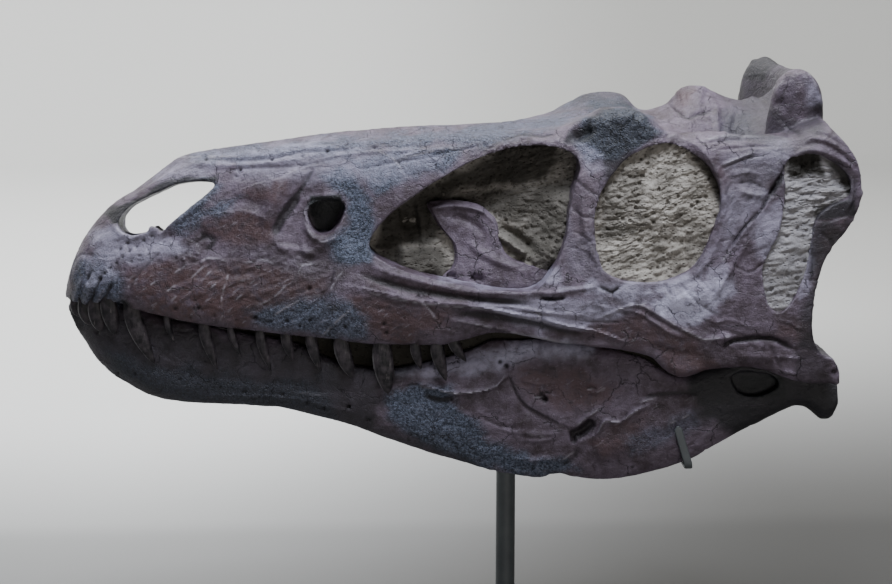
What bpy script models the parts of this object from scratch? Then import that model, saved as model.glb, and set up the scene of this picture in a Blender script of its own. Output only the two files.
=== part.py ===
"""Skull of a young tyrannosaur, filled with its rock matrix, on a steel museum stand.

The skull lies along X with its snout at -X and its back at +X. Its left side faces
-Y, its right side faces +Y, and Z is up. The origin is the middle of the underside
of the base plate, under the axis of the post.

All working sizes are millimetres, written as (place along X, value) stations on
smooth rails. Meshes are made in metres. The skull is modelled whole, as two lofted
forms with the rock core inside them, and then parted into its bones by thin seams.
"""
import math

import bmesh
import bpy
import numpy as np
from mathutils import Matrix

MM = 0.001

# ---- driving sizes, in millimetres ----
SNOUT_TIP = -327.0
SKULL_BACK = 241.0
JAW_FRONT = -325.0
JAW_LENGTH = 554.0
BONE_WALL = 8.5          # thickness of the bones over the rock core
REAR_WALL = 4.5          # bone behind the rock in the temporal window
SEAM = 0.5               # clear width of the seams between bones
CORE_GAP = 0.4           # clear width between a bone and the core
CORE_FRONT = -205.0
CORE_BACK = 236.0
OCCIPUT_PLACE = 190.0    # where the back of the braincase stands
TOOTH_THICKNESS = 6.0
TOOTH_ROOT = 5.0         # how deep each tooth is set into its bone
SKULL_STATIONS = 25      # cross-sections along the upper skull
CORE_STATIONS = 9
JAW_STATIONS = 21

BASE_LENGTH = 300.0
BASE_WIDTH = 220.0
BASE_THICKNESS = 12.0
BASE_BEVEL = 1.5
POST_RADIUS = 7.25
POST_SIDES = 24
COLLAR_RADIUS = 12.0
COLLAR_LENGTH = 14.0
CRADLE_HEIGHT = 172.0    # middle of the collar
ARM_WIDTH = 12.0
ARM_THICKNESS = 4.0
ARM_RISE = 5.0           # how far the end of an arm lies over the underside of its clip
CLIP_PLACE = 123.8       # where the clips pass under the jaw
CLIP_WIDTH = 5.8
CLIP_THICKNESS = 2.6
CLIP_CLEARANCE = 3.2     # from the lowest line of the jaw down to the middle of the clip


def rail(*stations):
    """Smooth line through (place, value) stations that never overshoots them."""
    place, value = np.array(stations, float).T
    slope = np.diff(value) / np.diff(place)
    turn = np.zeros(len(place))
    same_way = slope[:-1] * slope[1:] > 0
    turn[1:-1][same_way] = 2 / (1 / slope[:-1][same_way] + 1 / slope[1:][same_way])
    turn[0], turn[-1] = slope[0], slope[-1]

    def at(x):
        x = np.clip(x, place[0], place[-1])
        i = np.clip(np.searchsorted(place, x, side="right") - 1, 0, len(slope) - 1)
        width = place[i + 1] - place[i]
        t = (x - place[i]) / width
        start = value[i] * (2 * t**3 - 3 * t**2 + 1) + value[i + 1] * (3 * t**2 - 2 * t**3)
        return start + width * (turn[i] * (t**3 - 2 * t**2 + t) + turn[i + 1] * (t**3 - t**2))

    return at


# ---- rails of the upper skull: heights (Z) and half-widths (Y) along X ----
crown_z = rail((-327, 293), (-321, 315), (-309, 338), (-285, 366), (-263, 382), (-243, 393),
               (-197, 400), (-109, 412), (-6, 417), (76, 421), (106, 426), (117, 430), (122, 435),
               (128, 440), (136, 442), (146, 441), (155, 437.5), (165, 434), (176, 432),
               (187, 434), (196, 440), (206, 446))
edge_y = rail((-327, 1.5), (-309, 9), (-263, 14), (-210, 17), (-152, 21), (-66, 29), (-9, 42),
              (26, 53), (66, 62), (106, 76), (155, 86), (241, 93))
edge_z = rail((-327, 292), (-321, 312), (-309, 333), (-285, 359), (-263, 374), (-210, 391),
              (-152, 400), (-66, 406), (-9, 409), (32, 415), (52, 423.5), (63, 429), (76, 431.5),
              (88, 431), (96, 426), (102, 418), (106, 413), (155, 411), (183, 410), (214, 419),
              (241, 417))
side_y = rail((-327, 2), (-319, 13), (-309, 21), (-290, 29), (-250, 34), (-200, 38.5),
              (-150, 43), (-100, 48.5), (-50, 57), (0, 69), (40, 79), (100, 92), (150, 100),
              (200, 106), (241, 104))
margin_y = rail((-327, 2), (-319, 13), (-309, 22), (-291, 31), (-276, 34.5), (-226, 41.5),
                (-182, 46), (-132, 52), (-96, 58), (-53, 66), (-11, 76), (45, 88), (100, 97),
                (163, 104), (206, 110), (241, 110))
margin_z = rail((-327, 288), (-309, 288), (-291, 293), (-276, 287), (-226, 276), (-182, 271),
                (-132, 266), (-96, 263), (-53, 264), (-32, 270), (-11, 275), (17, 272),
                (73, 265), (94, 261), (106, 250), (116, 246), (131, 251), (163, 254), (206, 243),
                (241, 243))

# ---- rails of the lower jaw ----
jaw_low_z = rail((-325, 280), (-320, 268), (-312, 255), (-303, 243), (-294, 234), (-282, 227),
                 (-267, 219.6), (-253, 215.5), (-235, 214), (-204, 213), (-172, 211.5),
                 (-139, 206), (-118, 202), (-91, 193), (-60, 182.5), (-31, 174.5), (-10, 168.5),
                 (20, 165), (61, 165), (91, 170), (108, 175), (127, 182.5), (142, 191.5),
                 (159, 201.5), (176, 210.5), (193, 219.5), (200, 222), (206, 221.5), (214, 216),
                 (220, 211.5), (225, 212), (229, 220))
jaw_top_z = rail((-325, 284), (-310, 287.5), (-290, 290), (-276, 284), (-226, 272), (-182, 265),
                 (-150, 257), (-125, 246), (-96, 242), (-66, 247), (-32, 258), (-11, 266),
                 (17, 266), (88, 257), (116, 243), (142, 250), (163, 256), (188, 250), (206, 247),
                 (224, 243), (229, 240))
jaw_y = rail((-325, 2.5), (-318, 6), (-310, 12), (-302, 17.5), (-291, 22), (-276, 26.5),
             (-226, 33.5), (-182, 38), (-132, 44), (-96, 50), (-53, 57.5), (-11, 66), (45, 77),
             (117, 89), (188, 94), (229, 97))
jaw_thickness = rail((-321, 2), (-291, 19), (-265, 20), (-235, 14), (0, 13), (188, 14), (224, 20))

# ---- windows in the side of the skull, each a smooth outline in X and Z ----
NARIS = ((-284, 350), (-277, 359), (-250, 373), (-228, 378), (-214, 376), (-223, 366),
         (-243, 349), (-253, 341.5), (-260, 343.5), (-274, 338.5), (-283, 342))
NARIS_TILT = -0.13       # the opening slants down towards the right side
NARIS_LEVEL = -27.0      # the place along Y where its outline is true
MAXILLARY_WINDOW = ((-147.5, 357.5), (-140, 364.5), (-122, 364.5), (-122.5, 354), (-131, 342),
                    (-142, 342.5))
ANTORBITAL_WINDOW = ((-103, 332), (-92, 352), (-66, 372), (-38, 389), (-17, 399), (2, 404.5),
                     (16, 406), (30, 405), (41, 400.5), (45.5, 392), (42, 378), (37.5, 362),
                     (35, 343), (26, 320), (8, 305), (-36, 308), (-82, 318))
ORBIT = ((55, 344), (55, 356), (57, 368.5), (62.5, 381), (70, 391), (79.5, 400.5), (91, 406.5),
         (102, 409.5), (112, 408.5), (123, 403.5), (133, 395), (140, 383.5), (142.5, 372.5),
         (140.5, 361.5), (136, 349.5), (130, 334), (120.5, 322), (104.5, 315), (88, 313.5),
         (72, 315.5), (60.5, 322), (56.5, 333))
TEMPORAL_WINDOW = ((185.5, 392), (190, 401), (205, 404), (218, 398.5), (229, 389),
                   (231.5, 377), (227, 369.5), (206, 365), (203.5, 350), (200.5, 327.5),
                   (195, 309), (184, 294.5), (175, 299), (171, 318), (171.5, 328),
                   (181, 349), (185.5, 372))
JAW_WINDOW = ((153, 244), (163, 248), (182, 245), (186, 237), (172, 230), (158, 233))

# ---- seams between the bones of the left side, as corners in X and Z ----
NARIS_MIDDLE = (-250, 360)
ANTORBITAL_MIDDLE = (-30, 352)
ORBIT_MIDDLE = (98, 361)
TEMPORAL_LOW = (186, 300)
TEMPORAL_MIDDLE = (190, 350)
TEMPORAL_HIGH = (200, 382)
PREMAXILLA_MAXILLA = ((-284, 250), (-283, 292), (-270, 325), NARIS_MIDDLE)
NASAL_PREMAXILLA = (NARIS_MIDDLE, (-266, 373), (-276, 420))
NASAL_MAXILLA = (NARIS_MIDDLE, (-213, 378), (-206, 389), (-152, 397), (-109, 402), (-62, 403))
NASAL_LACRIMAL = ((-62, 403), (-25, 406), (2, 411), (12, 412))
MAXILLA_LACRIMAL = ((-62, 403), (-54, 388), ANTORBITAL_MIDDLE)
MAXILLA_JUGAL = (ANTORBITAL_MIDDLE, (-76, 316), (-30, 296), (18, 268), (18, 240))
LACRIMAL_JUGAL = (ANTORBITAL_MIDDLE, (30, 314), (62, 319), ORBIT_MIDDLE)
LACRIMAL_POSTORBITAL = (ORBIT_MIDDLE, (104, 398), (108, 412), (108, 470))
POSTORBITAL_JUGAL = (ORBIT_MIDDLE, (131, 322), (146, 334), (160, 352), (176, 374), TEMPORAL_HIGH)
POSTORBITAL_SQUAMOSAL = (TEMPORAL_HIGH, (196, 402), (190, 412), (190, 470))
SQUAMOSAL_QUADRATOJUGAL = (TEMPORAL_MIDDLE, (214, 350), (260, 356))
JUGAL_QUADRATOJUGAL = (TEMPORAL_LOW, (168, 284), (165, 272), (145, 270), (144, 262), (152, 230))
DENTARY_SURANGULAR = ((-24, 275), (-22, 256), (-11, 244), (32, 227), (52, 219))
DENTARY_ANGULAR = ((52, 219), (43, 197), (34, 150))
ANGULAR_SURANGULAR = ((52, 219), (88, 222), (130, 222), (176, 224), (192, 205))

ROOF_PLAN = ((12, 41), (40, 40), (70, 37), (92, 42), (106, 54), (122, 66), (186, 68), (206, 74))
TEMPORAL_FOSSA = (152.0, 47.0, 424.0)
TEMPORAL_FOSSA_SIZE = (29.0, 22.0, 30.0)

# ---- upper teeth: place of the root, lean of the tip, length below the bone, width ----
PREMAXILLARY_TEETH = ((-318, 2, 9, 6), (-311, 2, 13, 7), (-302, 3, 16, 7), (-292, 3, 19, 8))
MAXILLARY_TEETH = ((-275, 14, 41, 12), (-250, 5, 19, 7), (-223, 9.5, 35, 10), (-203.5, 7, 23, 7.5),
                   (-182.5, 7.5, 30, 9), (-164, 5, 20.5, 9), (-146, 7, 26, 10), (-124, 8, 28.5, 12),
                   (-95, 4, 37, 14), (-71, 4.5, 18.5, 9), (-55, 6.5, 27.5, 11), (-42, 8.5, 15, 9))

PALATINE_SPINE = ((-58, 344, 13), (-34, 336, 10), (-12, 325, 10), (10, 319, 9))
FENESTRA_FLOOR = ((-110, 20), (50, 56))     # half-width of the rock floor behind the window

# ---- quadrate: height, place along X, half-length, place along Y, half-width ----
QUADRATE_ROWS = ((249, 213, 12, 83, 11), (254, 213, 12, 82, 10), (262, 208, 10, 76, 9),
                 (274, 202, 8, 69.5, 7.5), (320, 200, 8, 69, 8), (362, 200, 7, 69, 7))
OCCIPUT_HALF = ((0, 404), (46, 404), (74, 398), (76, 376), (62, 366), (38, 372), (26, 352),
                (24, 322), (15, 300), (0, 294))
OCCIPUT_MIDDLE = 352.0
REAR_PROFILE = ((219, 421), (230, 408), (237, 396), (239.5, 383), (238, 368), (230, 352),
                (221, 341), (213, 328), (208, 311), (205, 292), (206, 276), (213, 264),
                (221, 261), (226, 250), (223, 240))
CREST_REACH = 69.0       # half-width of the nuchal crest
CREST_STATIONS = (-1, -0.94, -0.84, -0.65, -0.35, 0, 0.35, 0.65, 0.84, 0.94, 1)

SLIVERED = ("surangular", "rock_matrix")

BONE_COLOUR = (0.105, 0.078, 0.082)
DARK_BONE_COLOUR = (0.040, 0.045, 0.058)
MATRIX_COLOUR = (0.270, 0.240, 0.205)
STEEL_COLOUR = (0.028, 0.034, 0.034)


def clear_scene():
    for thing in list(bpy.data.objects):
        bpy.data.objects.remove(thing, do_unlink=True)


def finish_material(name, colour, roughness, metallic):
    """Principled material for one sub-part."""
    material = bpy.data.materials.new(name)
    material.use_nodes = True
    shader = material.node_tree.nodes["Principled BSDF"]
    shader.inputs["Base Color"].default_value = (*colour, 1.0)
    shader.inputs["Roughness"].default_value = roughness
    shader.inputs["Metallic"].default_value = metallic
    return material


def bone_finish(name):
    return finish_material(name + "_bone", BONE_COLOUR, 0.48, 0.0)


def dark_bone_finish(name):
    return finish_material(name + "_dark_bone", DARK_BONE_COLOUR, 0.5, 0.0)


def steel_finish(name):
    return finish_material(name + "_steel", STEEL_COLOUR, 0.45, 0.6)


def put(name, mesh_builder, material=None, cutter=False):
    """Turn a bmesh in millimetres into an object in metres."""
    for vertex in mesh_builder.verts:
        vertex.co *= MM
    bmesh.ops.recalc_face_normals(mesh_builder, faces=mesh_builder.faces)
    mesh = bpy.data.meshes.new(name)
    mesh_builder.to_mesh(mesh)
    mesh_builder.free()
    thing = bpy.data.objects.new(name, mesh)
    bpy.context.scene.collection.objects.link(thing)
    if material:
        mesh.materials.append(material)
    if cutter:
        thing.hide_render = True
        thing.display_type = "WIRE"
    return thing


def combine(thing, operation, *tools):
    """Boolean modifiers that cut, keep or join one tool after another.

    The sub-parts named in SLIVERED leave slivers that the exact solver loses.
    """
    slivered = thing.name.removesuffix("_left").removesuffix("_right") in SLIVERED
    for tool in tools:
        modifier = thing.modifiers.new(tool.name, "BOOLEAN")
        modifier.operation = operation
        modifier.solver = "MANIFOLD" if slivered else "EXACT"
        modifier.object = tool


def smooth_path(points, steps, closed):
    """Catmull-Rom curve through points, with a number of steps to each span."""
    points = np.array(points, float)
    if closed:
        padded = np.vstack([points[-1:], points, points[:2]])
    else:
        padded = np.vstack([2 * points[0] - points[1], points, 2 * points[-1] - points[-2]])
    before, start, end, after = padded[:-3], padded[1:-2], padded[2:-1], padded[3:]
    t = (np.arange(steps) / steps)[:, None, None]
    curve = 0.5 * (2 * start + (end - before) * t
                   + (2 * before - 5 * start + 4 * end - after) * t**2
                   + (3 * start - before - 3 * end + after) * t**3)
    curve = curve.transpose(1, 0, 2).reshape(-1, points.shape[1])
    return curve if closed else np.vstack([curve, points[-1:]])


def grow_outline(outline, distance):
    """Move each edge of a closed outline outwards by a distance; negative shrinks it."""
    outline = np.array(outline, float)
    forward = np.roll(outline, -1, axis=0) - outline
    area = np.sum(outline[:, 0] * np.roll(outline[:, 1], -1)
                  - outline[:, 1] * np.roll(outline[:, 0], -1))
    normal = np.stack([forward[:, 1], -forward[:, 0]], axis=1)
    normal /= np.linalg.norm(normal, axis=1)[:, None]
    normal *= np.sign(area)
    corner = normal + np.roll(normal, 1, axis=0)
    corner /= np.maximum(np.sum(corner * normal, axis=1), 0.35)[:, None]
    return outline + distance * corner


def loft(name, rings, material=None, cutter=False):
    """Skin of triangles over a row of rings with as many corners each, with flat ends."""
    shape = bmesh.new()
    rows = [[shape.verts.new(corner) for corner in ring] for ring in rings]
    for row, following in zip(rows, rows[1:]):
        for i in range(len(row)):
            j = (i + 1) % len(row)
            shape.faces.new((row[i], row[j], following[j]))
            shape.faces.new((row[i], following[j], following[i]))
    shape.faces.new(rows[0])
    shape.faces.new(rows[-1])
    return put(name, shape, material, cutter)


def side_prism(name, outline, start, end, material=None, cutter=False, tilt=0.0, level=0.0):
    """Outline in X and Z carried along Y; a tilt raises it on either side of its level."""
    rings = [[(x, y, z + tilt * (y - level)) for x, z in outline] for y in (start, end)]
    return loft(name, rings, material, cutter)


def ellipsoid(name, centre, size, segments, rings):
    """Rounded cutter or filler about a centre."""
    ball = bmesh.new()
    bmesh.ops.create_uvsphere(ball, u_segments=segments, v_segments=rings, radius=1.0)
    bmesh.ops.scale(ball, verts=ball.verts, vec=size)
    bmesh.ops.translate(ball, verts=ball.verts, vec=centre)
    return put(name, ball, cutter=True)


def side_and_mirror(build):
    """Run a builder for the left side (-1) and for the right side (+1)."""
    for side, label in ((-1, "left"), (1, "right")):
        build(side, label)


# ---- cross-sections ----
def full_ring(half, grow=0.0):
    """Close a half-section (top to bottom) with its mirror image."""
    ring = np.vstack([half, half[-2:0:-1] * (-1, 1)])
    if grow:
        ring = grow_outline(ring, grow)
    return ring


def upper_skull_ring(x):
    """Roof, dorsal edge, cheek, tooth margin and palate at one place along X."""
    top, edge, side, margin = crown_z(x), edge_y(x), side_y(x), margin_y(x)
    height = edge_z(x) - margin_z(x)
    lean = min(1.0, height / 60)
    half = ((0, top),
            (0.5 * edge, 0.35 * top + 0.65 * edge_z(x) + 1.5 * lean),
            (edge, edge_z(x)),
            (edge + 0.62 * (side - edge), margin_z(x) + 0.80 * height),
            (side, margin_z(x) + 0.50 * height),
            (margin + 2.0 * lean, margin_z(x) + 0.22 * height),
            (margin, margin_z(x) + 0.02 * height),
            (margin - 8 * lean, margin_z(x) + 1.0),
            (margin - 12 * lean, margin_z(x) + 12 * lean),
            (0, margin_z(x) + 15 * lean))
    half = smooth_path(half, 2, closed=False)
    return [(x, y, z) for y, z in full_ring(half[[0, 2, 4, 5, 6, 8, 10, 12, 14, 16, 18]])]


def core_ring(x, grow=0.0):
    """Rock core: under the roof and cheeks, and down between the lower jaws."""
    inner = jaw_y(x) - jaw_thickness(x) + 1.2
    height = edge_z(x) - margin_z(x)
    half = np.array(((0, crown_z(x) - BONE_WALL - 3),
                     (edge_y(x) - BONE_WALL + 1, edge_z(x) - BONE_WALL - 3),
                     (side_y(x) - BONE_WALL - 1, margin_z(x) + 0.58 * height),
                     (margin_y(x) - BONE_WALL - 3, margin_z(x) + 12),
                     (inner, jaw_top_z(x) + 3),
                     (inner, min(jaw_low_z(x) + 18, jaw_top_z(x) - 5)),
                     (0, jaw_low_z(x) + 26)))
    return [(x, y, z) for y, z in full_ring(half, grow)]


def jaw_ring(x, side):
    """One half of the lower jaw: a tall rounded plate."""
    outer = jaw_y(x)
    inner = max(SEAM / 2, outer - jaw_thickness(x))
    low, top = jaw_low_z(x), jaw_top_z(x)
    height, middle = top - low, (outer + inner) / 2
    corners = ((middle, top), (outer - 0.14 * (outer - inner), top - 0.10 * height),
               (outer, top - 0.38 * height), (outer, low + 0.30 * height),
               (outer - 0.2 * (outer - inner), low + 0.08 * height), (middle, low),
               (inner, low + 0.10 * height), (inner, top - 0.12 * height))
    return [(x, side * y, z) for y, z in corners]


def tooth_rings(x, lean, length, width, side):
    """Curved, flattened cone whose tip leans back."""
    root = margin_z(x)
    y = margin_y(x) - 1.2 - TOOTH_THICKNESS / 2
    rings = []
    for drop, size, share in ((-TOOTH_ROOT / length, 1.0, 0.0), (0.5, 0.78, 0.3), (1.0, 0.1, 1.0)):
        turn = np.arange(6) * math.tau / 6
        rings.append([(x + share * lean + size * width / 2 * math.cos(a),
                       side * (y + size * TOOTH_THICKNESS / 2 * math.sin(a)),
                       root - drop * length) for a in turn])
    return rings


# ---- whole forms and cutters ----
def build_forms():
    """Lofts, windows and regions that every bone is cut from."""
    forms = {}
    spread = np.linspace(0, 1, SKULL_STATIONS)
    places = SNOUT_TIP + (SKULL_BACK - SNOUT_TIP) * spread**1.18
    forms["skull"] = loft("form_skull", [upper_skull_ring(x) for x in places], cutter=True)

    spread = np.linspace(0, 1, CORE_STATIONS)
    places = CORE_FRONT + (CORE_BACK - CORE_FRONT) * spread
    forms["core"] = loft("form_core", [core_ring(x, CORE_GAP) for x in
                                       np.hstack([places[0] - CORE_GAP, places[1:-1],
                                                  places[-1] + CORE_GAP])], cutter=True)
    naris = smooth_path(NARIS, 2, closed=True)
    forms["naris"] = side_prism("cut_naris", naris, -60, 60, cutter=True, tilt=NARIS_TILT,
                                level=NARIS_LEVEL)

    rear = smooth_path(REAR_PROFILE, 1, closed=False)
    behind = [(206, 460), *map(tuple, rear), (223, 150), (300, 150), (300, 460)]
    forms["behind"] = side_prism("cut_behind", behind, -150, 150, cutter=True)
    inset = [(x - REAR_WALL, z) for x, z in behind]
    forms["core_behind"] = side_prism("cut_core_behind", inset, -150, 150, cutter=True)
    throat = ((OCCIPUT_PLACE, 150), (OCCIPUT_PLACE, 284), (300, 284), (300, 150))
    forms["throat"] = side_prism("cut_throat", throat, -120, 120, cutter=True)

    hollow = ((OCCIPUT_PLACE, -150), (OCCIPUT_PLACE, 150), (300, 150), (300, -150))
    width = rail((150, 60), (262, 62), (285, 78), (412, 78), (470, 74))
    rings = [[(x, math.copysign(float(width(z)), y), z) for x, y in hollow]
             for z in (150, 262, 285, 412, 470)]
    forms["hollow"] = loft("cut_occipital_hollow", rings, cutter=True)

    for side, label in ((-1, "left"), (1, "right")):
        x, y, z = TEMPORAL_FOSSA
        forms[f"fossa_{label}"] = ellipsoid(f"cut_temporal_fossa_{label}", (x, side * y, z),
                                            TEMPORAL_FOSSA_SIZE, 10, 6)

    roof_side = [(x, y) for x, y in ROOF_PLAN]
    roof = roof_side + [(x, -y) for x, y in reversed(roof_side)]
    for label, grow in (("roof", -SEAM / 2), ("roof_seat", SEAM / 2)):
        plan = grow_outline(roof, grow)
        rings = [[(x, y, z) for x, y in plan] for z in (380, 480)]
        forms[label] = loft("region_" + label, rings, cutter=True)
    return forms


def build_windows(side, label):
    """Openings of one side, each from outside the skull inwards."""
    outlines = {"maxillary": smooth_path(MAXILLARY_WINDOW, 2, closed=True),
                "antorbital": smooth_path(ANTORBITAL_WINDOW, 2, closed=True),
                "orbit": np.array(ORBIT, float),
                "temporal": np.array(TEMPORAL_WINDOW, float)}
    depth = {"maxillary": 18, "antorbital": 12, "orbit": 40, "temporal": 80}
    return {key: side_prism(f"cut_{key}_{label}", outline, side * 150, side * depth[key],
                            cutter=True) for key, outline in outlines.items()}


def region(*corners):
    """Side outline of a bone: seams and loose corners in order, doubles left out."""
    outline = []
    for corner in corners:
        run = [corner] if isinstance(corner[0], (int, float)) else list(corner)
        for point in run:
            if not outline or point != outline[-1]:
                outline.append(point)
    if outline[0] == outline[-1]:
        outline.pop()
    return grow_outline(outline, -SEAM / 2)


def back(seam):
    return tuple(reversed(seam))


def build_bones(side, label, forms):
    """Bones of one side: a side region of the skull, less the core and the windows."""
    cuts = build_windows(side, label)
    near, far = side * 150, side * SEAM / 2
    outlines = {
        "premaxilla": region((-350, 250), PREMAXILLA_MAXILLA, NASAL_PREMAXILLA, (-350, 420)),
        "maxilla": region(PREMAXILLA_MAXILLA, NASAL_MAXILLA, MAXILLA_LACRIMAL, MAXILLA_JUGAL),
        "lacrimal": region(back(MAXILLA_LACRIMAL), NASAL_LACRIMAL, (12, 470),
                           back(LACRIMAL_POSTORBITAL), back(LACRIMAL_JUGAL)),
        "jugal": region(back(MAXILLA_JUGAL), LACRIMAL_JUGAL, POSTORBITAL_JUGAL,
                        JUGAL_QUADRATOJUGAL),
        "postorbital": region(LACRIMAL_POSTORBITAL, back(POSTORBITAL_SQUAMOSAL),
                              back(POSTORBITAL_JUGAL)),
        "squamosal": region(POSTORBITAL_SQUAMOSAL, (260, 470), back(SQUAMOSAL_QUADRATOJUGAL)),
        "quadratojugal": region(SQUAMOSAL_QUADRATOJUGAL, (260, 230),
                                back(JUGAL_QUADRATOJUGAL)),
    }
    tools = {
        "premaxilla": ("naris",),
        "maxilla": ("naris", "core", "antorbital", "maxillary"),
        "lacrimal": ("core", "roof_seat", "antorbital", "orbit"),
        "jugal": ("core", "antorbital", "orbit", "temporal"),
        "postorbital": ("core", "roof_seat", f"fossa_{label}", "orbit", "temporal"),
        "squamosal": ("core", "roof_seat", "hollow", "behind", "temporal"),
        "quadratojugal": ("core", "hollow", "behind", "temporal"),
    }
    bones = {}
    for bone, outline in outlines.items():
        name = f"{bone}_{label}"
        bones[bone] = side_prism(name, outline, near, far, bone_finish(name))
        combine(bones[bone], "INTERSECT", forms["skull"])
        combine(bones[bone], "DIFFERENCE", *[{**forms, **cuts}[tool] for tool in tools[bone]])
    join_teeth(bones["premaxilla"], PREMAXILLARY_TEETH, side)
    join_teeth(bones["maxilla"], MAXILLARY_TEETH, side)


def join_teeth(bone, teeth, side):
    """Set a row of teeth into the bone they grow from."""
    for number, sizes in enumerate(teeth, 1):
        tooth = loft(f"tooth_{bone.name}_{number}", tooth_rings(*sizes, side), cutter=True)
        combine(bone, "UNION", tooth)


def build_nasals(forms):
    """Both nasals, which grew together along the top of the snout."""
    outline = region(back(NASAL_PREMAXILLA), NASAL_MAXILLA, NASAL_LACRIMAL, (12, 470))
    nasals = side_prism("nasals", outline, -60, 60, dark_bone_finish("nasals"))
    combine(nasals, "INTERSECT", forms["skull"])
    combine(nasals, "DIFFERENCE", forms["naris"], forms["core"])


def nuchal_crest():
    """Plate across the back of the roof that rises into a lobe at each end."""
    middle = rail((0, 208), (20, 207), (45, 203.5), (60, 203), (69, 203.5))
    thick = rail((0, 7), (20, 8), (40, 11), (55, 14.5), (62, 15.5), (69, 12.5))
    top = rail((0, 453.5), (20, 454), (40, 455.5), (55, 458.5), (62, 460), (66, 459.6), (69, 453))
    rings = []
    for y in np.array(CREST_STATIONS) * CREST_REACH:
        reach = abs(y)
        x, t, z = middle(reach), thick(reach), top(reach)
        rings.append([(x - t, y, 406), (x - t, y, z - 22), (x - 0.8 * t, y, z - 7),
                      (x - 0.2 * t, y, z), (x + 0.5 * t, y, z - 4), (x + 0.9 * t, y, z - 14),
                      (x + t, y, z - 30), (x + t, y, 406)])
    return loft("form_nuchal_crest", rings, cutter=True)


def build_roof(forms):
    """Frontals and parietals, with the nuchal crest standing across their back."""
    plan = grow_outline([(x, y) for x, y in ROOF_PLAN]
                        + [(x, -y) for x, y in reversed(ROOF_PLAN)], -SEAM / 2)
    roof = loft("skull_roof", [[(x, y, z) for x, y in plan] for z in (385, 480)],
                bone_finish("skull_roof"))
    combine(roof, "INTERSECT", forms["skull"])
    combine(roof, "DIFFERENCE", forms["fossa_left"], forms["fossa_right"])
    combine(roof, "UNION", nuchal_crest())
    combine(roof, "DIFFERENCE", forms["core"])


def build_occiput():
    """Back of the braincase with its side wings, and the ball that met the neck."""
    ring = full_ring(np.array(OCCIPUT_HALF, float))
    rings = [[(x, y * size, OCCIPUT_MIDDLE + (z - OCCIPUT_MIDDLE) * size) for y, z in ring]
             for x, size in ((OCCIPUT_PLACE + 0.4, 1.0), (OCCIPUT_PLACE + 9, 1.0),
                             (OCCIPUT_PLACE + 14, 0.9))]
    occiput = loft("occiput", rings, bone_finish("occiput"))
    canal = bmesh.new()
    bmesh.ops.create_cone(canal, cap_ends=True, segments=12, radius1=9, radius2=9, depth=16)
    bmesh.ops.rotate(canal, verts=canal.verts, matrix=turn_to_x())
    bmesh.ops.translate(canal, verts=canal.verts, vec=(OCCIPUT_PLACE + 14, 0, 374))
    combine(occiput, "DIFFERENCE", put("cut_spinal_canal", canal, cutter=True))
    condyle = ellipsoid("form_condyle", (OCCIPUT_PLACE + 17, 0, 350), (13, 13, 13), 12, 8)
    combine(occiput, "UNION", condyle)


def turn_to_x():
    """Rotation that lays a shape standing along Z down along X."""
    return Matrix.Rotation(math.pi / 2, 3, "Y")


def build_quadrate(side, label):
    """Column behind the cheek that ends in the joint for the lower jaw."""
    turn = (np.arange(8) + 0.5) * math.tau / 8
    rings = [[(x + wide * math.cos(a), side * (y + deep * math.sin(a)), z) for a in turn]
             for z, x, wide, y, deep in QUADRATE_ROWS]
    loft(f"quadrate_{label}", rings, dark_bone_finish(f"quadrate_{label}"))


def build_palatine(side, label):
    """Twisted bone that crosses the rock behind the antorbital window."""
    floor = rail(*FENESTRA_FLOOR)
    profile = ((-3, 0, 1.0), (-1, 6, 0.5), (2, 8, -0.3), (4, 0, -1.0))
    rings = [[(x + along, side * (float(floor(x + along)) + CORE_GAP + rise), z + share * half)
              for along, rise, share in profile]
             for x, z, half in smooth_path(PALATINE_SPINE, 2, closed=False)]
    loft(f"palatine_{label}", rings, bone_finish(f"palatine_{label}"))


def build_lower_jaw(side, label, forms):
    """Dentary, surangular and angular of one side, parted by their seams."""
    spread = np.linspace(0, 1, JAW_STATIONS)
    places = JAW_FRONT + JAW_LENGTH * spread**1.12
    form = loft(f"form_jaw_{label}", [jaw_ring(x, side) for x in places], cutter=True)
    window = side_prism(f"cut_jaw_window_{label}", smooth_path(JAW_WINDOW, 1, closed=True),
                        side * 150, side * 60, cutter=True)
    outlines = {
        "dentary": region((-350, 150), (-350, 300), (-24, 300), DENTARY_SURANGULAR,
                          DENTARY_ANGULAR),
        "surangular": region(back(DENTARY_SURANGULAR), (-24, 300), (260, 300), (260, 205),
                             back(ANGULAR_SURANGULAR)),
        "angular": region(back(DENTARY_ANGULAR), ANGULAR_SURANGULAR, (192, 150)),
    }
    for bone, outline in outlines.items():
        name = f"{bone}_{label}"
        finish = dark_bone_finish(name) if bone == "dentary" else bone_finish(name)
        piece = side_prism(name, outline, side * 150, side * SEAM / 2 * 0.5, finish)
        combine(piece, "INTERSECT", form)
        combine(piece, "DIFFERENCE", forms["core"])
        if bone == "surangular":
            combine(piece, "DIFFERENCE", window)


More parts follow.
